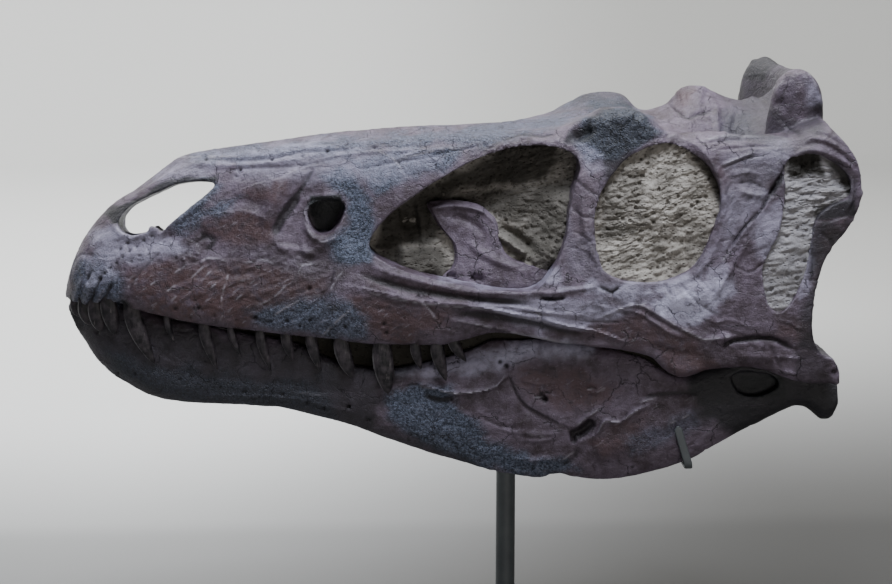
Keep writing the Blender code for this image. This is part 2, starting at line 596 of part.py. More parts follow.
def build_matrix(forms):
    """Rock that fills the skull and shows in its windows."""
    spread = np.linspace(0, 1, CORE_STATIONS)
    places = CORE_FRONT + (CORE_BACK - CORE_FRONT) * spread
    matrix = loft("rock_matrix", [core_ring(x) for x in places],
                  finish_material("rock_matrix", MATRIX_COLOUR, 0.9, 0.0))
    combine(matrix, "DIFFERENCE", forms["core_behind"], forms["hollow"], forms["throat"],
            forms["fossa_left"], forms["fossa_right"])
    floor = rail(*FENESTRA_FLOOR)
    outline = grow_outline(smooth_path(ANTORBITAL_WINDOW, 1, closed=True), 1.5)
    pit = smooth_path(MAXILLARY_WINDOW, 1, closed=True)
    for side, label in ((-1, "left"), (1, "right")):
        rings = [[(x, side * y, z) for x, z in outline] for y in (150, 0)]
        rings[1] = [(x, side * float(floor(x)), z) for x, z in outline]
        combine(matrix, "DIFFERENCE", loft(f"cut_antorbital_floor_{label}", rings, cutter=True))
        combine(matrix, "DIFFERENCE", side_prism(f"cut_maxillary_pit_{label}", pit, side * 150,
                                                 side * 20, cutter=True))
    combine(matrix, "DIFFERENCE", post_form("cut_post_socket", 200, POST_RADIUS + CORE_GAP))


# ---- stand ----
def post_form(name, top, radius, material=None):
    """Round bar from the base plate up to a height."""
    start = BASE_THICKNESS + 0.3
    turn = np.arange(POST_SIDES) * math.tau / POST_SIDES
    rings = [[(radius * math.cos(a), radius * math.sin(a), z) for a in turn]
             for z in (start, top)]
    return loft(name, rings, material, cutter=material is None)


def build_stand():
    """Base plate, post, and the cradle that carries two jaw clips."""
    plate = bmesh.new()
    bmesh.ops.create_cube(plate, size=1.0)
    bmesh.ops.scale(plate, verts=plate.verts, vec=(BASE_LENGTH, BASE_WIDTH, BASE_THICKNESS))
    bmesh.ops.translate(plate, verts=plate.verts, vec=(0, 0, BASE_THICKNESS / 2))
    base = put("stand_base", plate, steel_finish("stand_base"))
    bevel = base.modifiers.new("edge", "BEVEL")
    bevel.width = BASE_BEVEL * MM
    bevel.segments = 2
    post_form("stand_post", 199.5, POST_RADIUS, steel_finish("stand_post"))

    collar = bmesh.new()
    bmesh.ops.create_cone(collar, cap_ends=True, segments=20, radius1=COLLAR_RADIUS,
                          radius2=COLLAR_RADIUS, depth=COLLAR_LENGTH)
    bmesh.ops.translate(collar, verts=collar.verts, vec=(0, 0, CRADLE_HEIGHT))
    cradle = put("stand_cradle", collar, steel_finish("stand_cradle"))
    for side, label in ((-1, "left"), (1, "right")):
        combine(cradle, "UNION", loft(f"form_arm_{label}", arm_rings(side), cutter=True))
    bore = post_form("cut_collar_bore", 180, POST_RADIUS + 0.3)
    combine(cradle, "DIFFERENCE", bore)
    side_and_mirror(build_clip)


def clip_path():
    """Line of a clip: down the side of the jaw, under it, and up again inside it."""
    outer = float(jaw_y(CLIP_PLACE)) + 0.5
    inner = float(jaw_y(CLIP_PLACE) - jaw_thickness(CLIP_PLACE))
    under = float(jaw_low_z(CLIP_PLACE)) - CLIP_CLEARANCE
    return ((115.3, outer + 1.2, 208.5), (116.6, outer + 1.3, 203.0), (120.2, outer + 1.6, 191.0),
            (123.0, outer + 1.6, under + 4), (123.6, outer + 0.8, under + 1),
            (CLIP_PLACE, outer - 1.6, under), (CLIP_PLACE, inner - 0.6, under),
            (CLIP_PLACE, inner - 2.8, under + 1), (CLIP_PLACE, inner - 3.4, under + 3.5),
            (CLIP_PLACE, inner - 3.4, under + 8))


def arm_rings(side):
    """Flat bar from inside the collar out to the inner end of a clip."""
    _, clip_end, clip_top = clip_path()[-1]
    reach = clip_end - CLIP_THICKNESS / 2 - 0.3
    height = clip_top - 8 + ARM_RISE
    run = math.hypot(CLIP_PLACE, reach)
    across = (-side * reach / run, CLIP_PLACE / run)
    stations = ((0.04, CRADLE_HEIGHT, across), (1.0, height, (-side, 0)))
    return [[(CLIP_PLACE * share + s * broad[0] * ARM_WIDTH / 2,
              side * reach * share + s * broad[1] * ARM_WIDTH / 2, z + t * ARM_THICKNESS / 2)
             for s, t in ((-1, -1), (1, -1), (1, 1), (-1, 1))] for share, z, broad in stations]


def build_clip(side, label):
    """Flat strip that hugs the lower edge of the jaw, square to its own line."""
    line = np.array(clip_path())
    ahead = np.gradient(line, axis=0)
    ahead /= np.linalg.norm(ahead, axis=1)[:, None]
    broad = np.array([1.0, 0.0, 0.0]) - ahead * ahead[:, :1]
    broad /= np.linalg.norm(broad, axis=1)[:, None]
    thin = np.cross(ahead, broad)
    rings = []
    for point, wide, deep in zip(line, broad * CLIP_WIDTH / 2, thin * CLIP_THICKNESS / 2):
        corners = (point + s * wide + t * deep for s, t in ((-1, -1), (1, -1), (1, 1), (-1, 1)))
        rings.append([(x, side * y, z) for x, y, z in corners])
    loft(f"stand_clip_{label}", rings, steel_finish(f"stand_clip_{label}"))


def main():
    clear_scene()
    forms = build_forms()
    side_and_mirror(lambda side, label: build_bones(side, label, forms))
    build_nasals(forms)
    build_roof(forms)
    build_occiput()
    side_and_mirror(build_quadrate)
    side_and_mirror(build_palatine)
    side_and_mirror(lambda side, label: build_lower_jaw(side, label, forms))
    build_matrix(forms)
    build_stand()


main()
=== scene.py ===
# %% [markdown]
# # Skull of a young tyrannosaur on its museum stand
# The skull is a cast-like fossil: dark purple-brown bone with blue-grey patches, still
# filled with the pale rock it was found in. It stands on one steel post. The frame that
# was packed from the solids gives every place, so this script only dresses it.

# %% Load the frame
import math
import time

import bmesh
import bpy
import numpy as np
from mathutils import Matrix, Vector


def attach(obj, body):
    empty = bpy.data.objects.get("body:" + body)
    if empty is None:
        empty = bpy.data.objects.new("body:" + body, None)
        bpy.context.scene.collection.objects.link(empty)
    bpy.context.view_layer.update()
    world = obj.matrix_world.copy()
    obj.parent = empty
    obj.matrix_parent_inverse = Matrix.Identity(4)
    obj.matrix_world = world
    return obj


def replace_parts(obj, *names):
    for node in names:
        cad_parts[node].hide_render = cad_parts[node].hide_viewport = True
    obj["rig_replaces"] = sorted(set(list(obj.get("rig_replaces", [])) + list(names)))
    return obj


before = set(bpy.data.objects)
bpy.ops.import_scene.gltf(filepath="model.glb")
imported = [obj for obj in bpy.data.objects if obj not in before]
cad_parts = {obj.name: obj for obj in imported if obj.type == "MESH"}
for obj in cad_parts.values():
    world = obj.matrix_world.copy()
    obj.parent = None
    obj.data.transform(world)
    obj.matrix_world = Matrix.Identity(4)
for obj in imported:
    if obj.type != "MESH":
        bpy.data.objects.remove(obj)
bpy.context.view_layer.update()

MM = 0.001
started = time.time()

# %% [markdown]
# ## Camera
# A long lens, a little above the skull and almost square to its left side. The same
# numbers give a function that tells where any point falls in the picture, and that
# function is what places small marks on the bone later on.

# %% Camera and the picture plane
FRAME_WIDE, FRAME_HIGH = 892, 584
LENS, SENSOR = 80.0, 36.0
TURN, TILT = math.radians(3.0), math.radians(11.0)
STAND_OFF = 1480.0
AIM = np.array([-45.5, 0.0, 290.0])
SIGHT = np.array([math.sin(TURN) * math.cos(TILT), math.cos(TURN) * math.cos(TILT),
                  -math.sin(TILT)])
ACROSS = np.array([math.cos(TURN), -math.sin(TURN), 0.0])
UPWARD = np.array([math.sin(TURN) * math.sin(TILT), math.cos(TURN) * math.sin(TILT),
                   math.cos(TILT)])
EYE = AIM - STAND_OFF * SIGHT
SPREAD = LENS / SENSOR * FRAME_WIDE


def in_frame(points):
    """Picture place of points in millimetres: offset from the eye, over its depth."""
    offset = points - EYE
    depth = offset @ SIGHT
    return np.stack([FRAME_WIDE / 2 + SPREAD * (offset @ ACROSS) / depth,
                     FRAME_HIGH / 2 - SPREAD * (offset @ UPWARD) / depth], axis=-1)


def on_plane(places, y):
    """Where sight lines through picture places meet the plane at y, as x and z."""
    places = np.asarray(places, float)
    ray = (SIGHT + (places[:, :1] - FRAME_WIDE / 2) / SPREAD * ACROSS
           + (FRAME_HIGH / 2 - places[:, 1:]) / SPREAD * UPWARD)
    return (EYE + ((y - EYE[1]) / ray[:, 1])[:, None] * ray)[:, [0, 2]]


def add_object(name, data):
    thing = bpy.data.objects.new(name, data)
    bpy.context.scene.collection.objects.link(thing)
    return thing


camera = add_object("camera", bpy.data.cameras.new("camera"))
camera.data.lens = LENS
camera.data.sensor_width = SENSOR
camera.location = EYE * MM
camera.rotation_mode = "QUATERNION"
camera.rotation_quaternion = Vector(SIGHT).to_track_quat("-Z", "Y")
bpy.context.scene.camera = camera
print("eye at", EYE.round(1), "mm")

# %% [markdown]
# ## Rails
# The head is drawn the way a shipwright draws a hull: a few smooth lines run along it
# and tell how high and how wide it is at each place. Every cross-section is then built
# from the values of those lines, so thousands of points follow from a few dozen.


# %% Smooth lines
def rail(*stations):
    """Cubic pieces through (place, value) stations, with slopes that never overshoot."""
    place, value = np.array(stations, float).T
    slope = np.diff(value) / np.diff(place)
    turn = np.zeros(len(place))
    same_way = slope[:-1] * slope[1:] > 0
    turn[1:-1][same_way] = 2 / (1 / slope[:-1][same_way] + 1 / slope[1:][same_way])
    turn[0], turn[-1] = slope[0], slope[-1]

    def at(x):
        x = np.clip(x, place[0], place[-1])
        i = np.clip(np.searchsorted(place, x, side="right") - 1, 0, len(slope) - 1)
        width = place[i + 1] - place[i]
        t = (x - place[i]) / width
        ends = value[i] * (2 * t**3 - 3 * t**2 + 1) + value[i + 1] * (3 * t**2 - 2 * t**3)
        return ends + width * (turn[i] * (t**3 - 2 * t**2 + t) + turn[i + 1] * (t**3 - t**2))

    return at


def smooth_curve(points, steps, closed):
    """Catmull-Rom curve along the second-last axis, with a number of steps to each span."""
    points = np.asarray(points, float)
    if closed:
        padded = np.concatenate([points[..., -1:, :], points, points[..., :2, :]], axis=-2)
    else:
        padded = np.concatenate([2 * points[..., :1, :] - points[..., 1:2, :], points,
                                 2 * points[..., -1:, :] - points[..., -2:-1, :]], axis=-2)
    before, start = padded[..., :-3, None, :], padded[..., 1:-2, None, :]
    end, after = padded[..., 2:-1, None, :], padded[..., 3:, None, :]
    t = (np.arange(steps) / steps)[:, None]
    curve = 0.5 * (2 * start + (end - before) * t
                   + (2 * before - 5 * start + 4 * end - after) * t**2
                   + (3 * start - before - 3 * end + after) * t**3)
    curve = curve.reshape(*points.shape[:-2], -1, points.shape[-1])
    return curve if closed else np.concatenate([curve, points[..., -1:, :]], axis=-2)


# %% Rails of the upper skull and of the lower jaw
crown_z = rail((-327, 293), (-321, 315), (-309, 338), (-299, 350.5), (-288, 361), (-276, 368),
               (-263, 376.5), (-250, 386), (-240, 391.5), (-225, 396.5), (-197, 401),
               (-109, 412), (-6, 417), (76, 421), (106, 426), (117, 430), (122, 435), (128, 440),
               (136, 442), (146, 441), (155, 437.5), (165, 434), (176, 432), (187, 434),
               (196, 440), (206, 446))
edge_y = rail((-327, 1.5), (-309, 9), (-263, 14), (-210, 17), (-152, 21), (-66, 29), (-9, 42),
              (26, 53), (66, 62), (106, 76), (155, 86), (241, 93))
edge_z = rail((-327, 292), (-321, 312), (-309, 333), (-285, 356.5), (-263, 370), (-240, 383),
              (-210, 391), (-152, 400), (-66, 406), (-9, 409), (32, 415), (52, 424), (63, 430),
              (76, 431),
              (88, 427.5), (96, 422), (102, 417), (106, 413), (155, 411), (183, 410), (214, 419),
              (241, 417))
side_y = rail((-327, 2), (-319, 13), (-309, 21), (-290, 29), (-250, 34), (-200, 38.5),
              (-150, 43), (-100, 48.5), (-50, 57), (0, 69), (40, 79), (100, 92), (150, 100),
              (200, 106), (241, 104))
margin_y = rail((-327, 2), (-319, 13), (-309, 22), (-291, 31), (-276, 34.5), (-226, 41.5),
                (-182, 46), (-132, 52), (-96, 58), (-53, 66), (-11, 76), (45, 88), (100, 97),
                (163, 104), (206, 110), (241, 110))
margin_z = rail((-327, 288), (-309, 288), (-291, 293), (-276, 287), (-226, 276), (-182, 271),
                (-132, 266), (-96, 263), (-53, 264), (-32, 270), (-11, 275), (17, 272),
                (73, 265), (94, 261), (106, 250), (116, 246), (131, 251), (163, 254), (206, 243),
                (241, 243))
jaw_low_z = rail((-325, 280), (-320, 268), (-312, 255), (-303, 243), (-294, 234), (-282, 227),
                 (-267, 219.6), (-253, 215.5), (-235, 214), (-204, 213), (-172, 211.5),
                 (-139, 204.5), (-118, 199.5), (-91, 190), (-60, 180), (-31, 172.8), (-10, 167.8),
                 (13, 165), (20, 164.6), (29, 168), (35, 168.6), (41, 167), (60, 165), (70, 165.5),
                 (91, 170), (108, 175), (127, 182.5), (142, 191.5), (159, 201.5), (176, 210.5),
                 (193, 219.5), (200, 222), (206, 221.5), (214, 216), (220, 211.5), (225, 212),
                 (229, 220))
jaw_top_z = rail((-325, 284), (-310, 287.5), (-290, 290), (-276, 284), (-226, 272), (-182, 265),
                 (-150, 257), (-125, 246), (-96, 242), (-66, 247), (-32, 258), (-11, 266),
                 (17, 266), (88, 257), (116, 243), (142, 250), (163, 256), (188, 250), (206, 247),
                 (224, 243), (229, 240))
jaw_y = rail((-325, 2.5), (-318, 6), (-310, 12), (-302, 17.5), (-291, 22), (-276, 26.5),
             (-226, 33.5), (-182, 38), (-132, 44), (-96, 50), (-53, 57.5), (-11, 66), (45, 77),
             (117, 89), (188, 94), (229, 97))
jaw_thickness = rail((-321, 2), (-291, 19), (-265, 20), (-235, 14), (0, 13), (188, 14), (224, 20))
print("the skull is", round(2 * float(side_y(200))), "mm wide at the cheeks")

# %% Windows in the side, as outlines in X and Z
NARIS = ((-284, 350), (-277, 359), (-266, 365.5), (-250, 373), (-240, 376.5), (-226, 378),
         (-214, 376), (-223, 366), (-234, 357), (-243, 349), (-253, 341.5), (-258, 344.5),
         (-264, 341), (-275, 338.5), (-283, 342))
NARIS_TILT, NARIS_LEVEL = -0.13, -27.0
MAXILLARY_WINDOW = ((-147.5, 357.5), (-140, 364.5), (-122, 364.5), (-122.5, 354), (-131, 342),
                    (-142, 342.5))
ANTORBITAL_WINDOW = ((-103, 332), (-92, 352), (-66, 372), (-38, 389), (-17, 399), (2, 404.5),
                     (16, 406), (30, 405), (41, 400.5), (45.5, 392), (42, 378), (37.5, 362),
                     (35, 343), (26, 320), (8, 305), (-36, 308), (-82, 318))
ORBIT = ((55, 344), (55, 356), (57, 368.5), (62.5, 381), (70, 391), (79.5, 400.5), (91, 406.5),
         (102, 409.5), (112, 408.5), (123, 403.5), (133, 395), (140, 383.5), (142.5, 372.5),
         (140.5, 361.5), (136, 349.5), (130, 334), (120.5, 322), (104.5, 315), (88, 313.5),
         (72, 315.5), (60.5, 322), (56.5, 333))
TEMPORAL_WINDOW = ((185.5, 392), (190, 401), (205, 404), (218, 398.5), (229, 389),
                   (231.5, 378), (228, 373), (217, 368), (207.5, 360), (204, 346), (200.5, 327.5),
                   (195, 309), (184, 294.5), (175, 299), (171, 318), (171.5, 328),
                   (181, 349), (185.5, 372))
JAW_WINDOW = ((153, 244), (163, 248), (182, 245), (186, 237), (172, 230), (158, 233))
windows = {"naris": smooth_curve(NARIS, 6, closed=True),
           "maxillary": smooth_curve(MAXILLARY_WINDOW, 8, closed=True),
           "antorbital": smooth_curve(ANTORBITAL_WINDOW, 6, closed=True),
           "orbit": smooth_curve(ORBIT, 4, closed=True),
           "temporal": smooth_curve(TEMPORAL_WINDOW, 4, closed=True)}
print({key: len(outline) for key, outline in windows.items()})

# %% [markdown]
# ## Meshes from arrays
# A surface here is a grid of points: one index runs along it, the other round it. The
# faces of such a grid are pure index arithmetic, so no loop over vertices is needed.


# %% Grid, mesh and Boolean helpers
def skin(rings):
    """Triangles over rings of equal length, with a fan to a middle point at both ends."""
    rows, around = rings.shape[:2]
    grid = np.arange(rows * around).reshape(rows, around)
    a, b = grid[:-1], np.roll(grid, -1, axis=1)[:-1]
    c, d = np.roll(grid, -1, axis=1)[1:], grid[1:]
    walls = np.concatenate([np.stack([a, b, c], -1).reshape(-1, 3),
                            np.stack([a, c, d], -1).reshape(-1, 3)])
    first, last = rows * around, rows * around + 1
    front = np.stack([np.roll(grid[0], -1), grid[0], np.full(around, first)], -1)
    rear = np.stack([grid[-1], np.roll(grid[-1], -1), np.full(around, last)], -1)
    points = np.concatenate([rings.reshape(-1, 3), rings[0].mean(0)[None],
                             rings[-1].mean(0)[None]])
    return points, np.concatenate([walls, front, rear])


def stand_at(x, section):
    """Sections of (y, z) corners, each with its own X put before every corner."""
    place = np.broadcast_to(x[:, None, None], section[..., :1].shape)
    return np.concatenate([place, section], axis=-1)


def outward(points, faces):
    """Turn every face round when the volume under the faces comes out negative."""
    a, b, c = (points[faces[:, i]] for i in range(3))
    volume = np.sum(a * np.cross(b, c))
    return faces if volume > 0 else faces[:, ::-1]


def put(name, points, faces):
    """Object at the origin from points in millimetres and triangles."""
    mesh = bpy.data.meshes.new(name)
    mesh.from_pydata((points * MM).tolist(), [], outward(points, faces).tolist())
    mesh.shade_smooth()
    return add_object(name, mesh)


def settle(thing):
    """Replace the mesh by what its modifiers make of it."""
    depsgraph = bpy.context.evaluated_depsgraph_get()
    made = bpy.data.meshes.new_from_object(thing.evaluated_get(depsgraph))
    thing.modifiers.clear()
    old, thing.data = thing.data, made
    bpy.data.meshes.remove(old)
    return thing


def combine(thing, operation, *tools):
    """Exact Boolean of a closed form with each tool in turn."""
    for tool in tools:
        modifier = thing.modifiers.new(tool.name, "BOOLEAN")
        modifier.operation = operation
        modifier.solver = "MANIFOLD"
        modifier.object = tool
    return settle(thing)


def discard(*things):
    for thing in things:
        bpy.data.objects.remove(thing, do_unlink=True)


def prism(name, outline, start, end, tilt=0.0, level=0.0):
    """Outline in X and Z carried along Y, with a flat face at both ends.

    A tilt raises the outline in step with its distance from its level along Y.
    """
    outline = np.asarray(outline, float)
    return block(name, [np.stack([outline[:, 0], np.full(len(outline), float(y)),
                                  outline[:, 1] + tilt * (y - level)], axis=1)
                        for y in (start, end)])


def block(name, rings):
    """Two matching rings of corners, joined by walls and closed by flat faces."""
    count = len(rings[0])
    low = list(range(count))
    walls = [(i, (i + 1) % count, count + (i + 1) % count, count + i) for i in low]
    mesh = bpy.data.meshes.new(name)
    mesh.from_pydata((np.concatenate(rings) * MM).tolist(), [],
                     walls + [low[::-1], [count + i for i in low]])
    form = bmesh.new()
    form.from_mesh(mesh)
    bmesh.ops.recalc_face_normals(form, faces=form.faces)
    form.to_mesh(mesh)
    form.free()
    return add_object(name, mesh)


# %% [markdown]
# ## Upper skull as one smooth form
# The roof, the cheeks and the tooth margin come from one section that changes along X.
# The section is a smooth curve through ten points that the rails place.

# %% Skin of the upper skull
SKULL_STATIONS, SECTION_STEPS = 260, 12
SNOUT_TIP, SKULL_BACK = -327.0, 241.0


def skull_rings(x):
    """Half-section through roof, dorsal edge, cheek, margin and palate, then mirrored."""
    top, edge, rim = crown_z(x), edge_y(x), edge_z(x)
    side, margin, low = side_y(x), margin_y(x), margin_z(x)
    height = rim - low
    lean = np.minimum(1.0, height / 60)
    across = (0 * x, 0.5 * edge, edge, edge + 0.62 * (side - edge), side, margin + 2.0 * lean,
              margin, margin - 8 * lean, margin - 12 * lean, 0 * x)
    up = (top, 0.35 * top + 0.65 * rim + 1.5 * lean, rim, low + 0.80 * height,
          low + 0.50 * height, low + 0.22 * height, low + 0.02 * height, low + 1.0,
          low + 12 * lean, low + 15 * lean)
    half = smooth_curve(np.stack([np.stack(across, 1), np.stack(up, 1)], -1), SECTION_STEPS,
                        closed=False)
    mirrored = half[:, -2:0:-1] * (-1, 1)
    return stand_at(x, np.concatenate([half, mirrored], axis=1))


spread = np.linspace(0, 1, SKULL_STATIONS)
skull_stations = SNOUT_TIP + (SKULL_BACK - SNOUT_TIP) * spread**1.18
skull = put("skull", *skin(skull_rings(skull_stations)))
print("skin of the upper skull:", len(skull.data.polygons), "triangles")

# %% Windows, pits and hollows cut into the form
WELL_OUT = 150.0
POCKETS = {"maxillary": 24, "antorbital": 12, "orbit": 50, "temporal": 66}
REAR_PROFILE = ((219, 421), (230, 408), (237, 396), (239.5, 383), (238, 368), (230, 352),
                (221, 341), (213, 328), (208, 311), (205, 292), (206, 276), (213, 264),
                (221, 261), (226, 250), (223, 240))
OCCIPUT_PLACE = 190.0


def ball(name, centre, size, rows=32, around=48):
    """Ellipsoid from two angles: one from pole to pole, the other round it."""
    polar = np.linspace(0, math.pi, rows)[1:-1, None]
    round_it = np.arange(around)[None] * math.tau / around
    unit = np.stack([np.cos(polar) + 0 * round_it, np.sin(polar) * np.cos(round_it),
                     np.sin(polar) * np.sin(round_it)], -1)
    points, faces = skin(unit)
    points[-2:] = (1, 0, 0), (-1, 0, 0)
    return put(name, points * size + centre, faces)


cutters = [prism("naris", windows["naris"], -60, 60, NARIS_TILT, NARIS_LEVEL)]
for side in (-1, 1):
    for key, depth in POCKETS.items():
        cutters.append(prism(key, windows[key], side * WELL_OUT, side * depth))
rear = smooth_curve(REAR_PROFILE, 5, closed=False)
behind = np.vstack([(206, 460), rear, (223, 150), (300, 150), (300, 460)])
cutters.append(prism("behind", behind, -WELL_OUT, WELL_OUT))
hollow_width = rail((150, 60), (262, 62), (285, 78), (412, 78), (470, 74))
HOLLOW_TOP = 416
hollow_rise = np.linspace(150, HOLLOW_TOP, 60)
hollow = np.stack([np.stack([np.full(60, x), side * hollow_width(hollow_rise), hollow_rise], -1)
                   for x, side in ((OCCIPUT_PLACE, -1), (OCCIPUT_PLACE, 1), (300, 1), (300, -1))],
                  axis=1)
cutters.append(put("hollow", *skin(hollow)))
combine(skull, "DIFFERENCE", *cutters)
discard(*cutters)
print("skull with its windows:", len(skull.data.polygons), "faces,",
      round(time.time() - started, 1), "s")

# %% Nuchal crest: a plate across the back of the roof with a wing at each end
crest_middle = rail((0, 208), (20, 207), (45, 203.5), (58, 203), (69, 205))
crest_thick = rail((0, 7), (20, 8), (36, 10.5), (47, 14.5), (55, 16.5), (62, 15), (66, 11),
                   (69, 5))
crest_top = rail((0, 455), (20, 456), (40, 457.5), (52, 459), (60, 459), (66, 456.5),
                 (69, 450))
CREST_REACH, CREST_FOOT = 69.0, 402.0


def crest_rings(y):
    """Section of the plate at each place across the skull: foot, front face, top, back."""
    reach = np.abs(y)
    x, t, z = crest_middle(reach), crest_thick(reach), crest_top(reach)
    foot = 0 * z + CREST_FOOT
    along = (x - 1.05 * t - 9, x - 1.02 * t - 4, x - 0.98 * t - 2, x - 0.84 * t - 1,
             x - 0.45 * t, x, x + 0.38 * t, x + 0.75 * t, x + 1.02 * t, x + 1.12 * t)
    up = (foot, z - 26, z - 12, z - 5, z - 1, z, z - 3, z - 10, z - 26, foot)
    corners = smooth_curve(np.stack([np.stack(along, 1), np.stack(up, 1)], -1), 6, closed=False)
    place = np.broadcast_to(y[:, None, None], corners[..., :1].shape)
    return np.concatenate([corners[..., :1], place, corners[..., 1:]], -1)


crest = put("nuchal_crest", *skin(crest_rings(np.linspace(-1, 1, 81) * CREST_REACH)))
combine(skull, "UNION", crest)
discard(crest)

# %% Even grid of small faces, then a little wear on every corner
VOXEL = 1.1


def weather(thing, voxel, rounds):
    """Rebuild the surface from small even cells and let smoothing round its corners."""
    cells = thing.modifiers.new("cells", "REMESH")
    cells.mode = "VOXEL"
    cells.voxel_size = voxel * MM
    wear = thing.modifiers.new("wear", "SMOOTH")
    wear.factor = 0.5
    wear.iterations = rounds
    return settle(thing)


weather(skull, VOXEL, 5)
print("even skull:", len(skull.data.vertices), "points,", round(time.time() - started, 1), "s")


# %% [markdown]
# ## Noise made of arrays
# Real bone is never smooth. Value noise gives each cell of a lattice a number that only
# depends on the cell, and blends the eight corners round each point. A few sizes of it
# together give swells, wrinkles and grain that are the same on every run.


# %% Value noise and cell noise
NOISE_TILT = np.array([[0.80, 0.36, 0.48], [-0.60, 0.48, 0.64], [0.0, -0.80, 0.60]])


def lattice(cells, seed):
    """Number from 0 to 1 for whole-number cells, from products of primes and shifts."""
    mixed = (cells[..., 0] * 73856093) ^ (cells[..., 1] * 19349663) ^ (cells[..., 2] * 83492791)
    mixed = (mixed ^ (seed * 2654435761 + 97)) & 0xFFFFFFFF
    mixed = ((mixed ^ (mixed >> 15)) * 2246822519) & 0xFFFFFFFF
    mixed = ((mixed ^ (mixed >> 13)) * 3266489917) & 0xFFFFFFFF
    return ((mixed ^ (mixed >> 16)) & 0xFFFF) / 65535.0


def noise(points, size, seed=1):
    """Blend of the lattice values at a cell's eight corners, from -1 to 1."""
    place = points @ NOISE_TILT / size
    cell = np.floor(place).astype(np.int64)
    part = place - cell
    part = part * part * (3 - 2 * part)
    total = np.zeros(len(points))
    for corner in np.ndindex(2, 2, 2):
        share = np.prod(np.where(corner, part, 1 - part), axis=1)
        total += share * lattice(cell + np.array(corner), seed)
    return 2 * total - 1


def layered(points, size, layers, seed=1, keep=0.5):
    """Sum of noises, each half the size and a kept share of the height of the last."""
    heights = keep ** np.arange(layers)
    parts = [h * noise(points, size / 2**i, seed + i) for i, h in enumerate(heights)]
    return sum(parts) / heights.sum()


def nearest_seed(points, size, seed=1):
    """Distance to the nearest of points scattered one to a cell, as a share of the cell."""
    place = points @ NOISE_TILT / size
    cell = np.floor(place).astype(np.int64)
    best = np.full(len(points), 9.0)
    for step in np.ndindex(3, 3, 3):
        near = cell + np.array(step) - 1
        spot = near + np.stack([lattice(near, seed + k) for k in (11, 23, 37)], axis=1)
        best = np.minimum(best, np.sum((spot - place) ** 2, axis=1))
    return np.sqrt(best)


# %% [markdown]
# ## Marks on the bone
# The big shapes are there; what makes the skull this skull is its relief. Each mark is a
# short line on the picture plane with a height and a width in millimetres: a ridge
# swells along it, a groove sinks, a ledge steps down on one side. The marks move points
# along their normals, like a thumb on clay, and serve the hidden side by mirror.


# %% Distance to a line on the picture plane
PIXELS_PER_MM = 1.40


def along(place, line, reach):
    """Points within reach of a broken line: index, distance, share along, and side."""
    line = np.asarray(line, float)
    low, high = line.min(0) - reach, line.max(0) + reach
    near = np.flatnonzero(np.all((place > low) & (place < high), axis=1))
    spot = place[near]
    best = np.full(len(near), 1e9)
    share, side = np.zeros(len(near)), np.ones(len(near))
    lengths = np.linalg.norm(np.diff(line, axis=0), axis=1)
    before = np.concatenate([[0], np.cumsum(lengths)])
    for i, length in enumerate(lengths):
        step = (line[i + 1] - line[i]) / max(length, 1e-6)
        offset = spot - line[i]
        t = np.clip(offset @ step, 0, length)
        apart = offset - t[:, None] * step
        far = np.linalg.norm(apart, axis=1)
        closer = far < best
        best = np.where(closer, far, best)
        share = np.where(closer, (before[i] + t) / before[-1], share)
        side = np.where(closer, np.sign(step[0] * offset[:, 1] - step[1] * offset[:, 0]), side)
    return near, best, share, side


def bell(distance, width):
    """Height of a round swell at a distance from its middle line."""
    return np.exp(-((distance / width) ** 2))


def draw_mark(place, rise, kind, height, width, points):
    """Add one mark to the rise, in millimetres, with ends that fade out."""
    wide = width * PIXELS_PER_MM
    if kind == "dots":
        for spot in points:
            near, far, _, _ = along(place, [spot, (spot[0] + 0.1, spot[1])], 3 * wide)
            rise[near] += height * bell(far, wide)
        return
    line = smooth_curve(points, 4, closed=False) if len(points) > 2 else points
    near, far, share, side = along(place, line, 3 * wide)
    fade = np.minimum(1.0, 5 * np.minimum(share + 0.04, 1.04 - share))
    if kind == "ledge":
        step = np.where(side > 0, np.exp(-far / wide / 1.2), 0.0)
        rise[near] += height * fade * step
    else:
        rise[near] += height * fade * bell(far, wide)


def draw_marks(place, marks):
    """Rise of each place from all the marks together."""
    rise = np.zeros(len(place))
    for kind, height, width, *line in marks:
        draw_mark(place, rise, kind, height, width, line)
    return rise


# %% [markdown]
# The marks follow, region by region. Each reads: kind, height, half-width, then places
# on the picture plane. Heights below zero cut in.

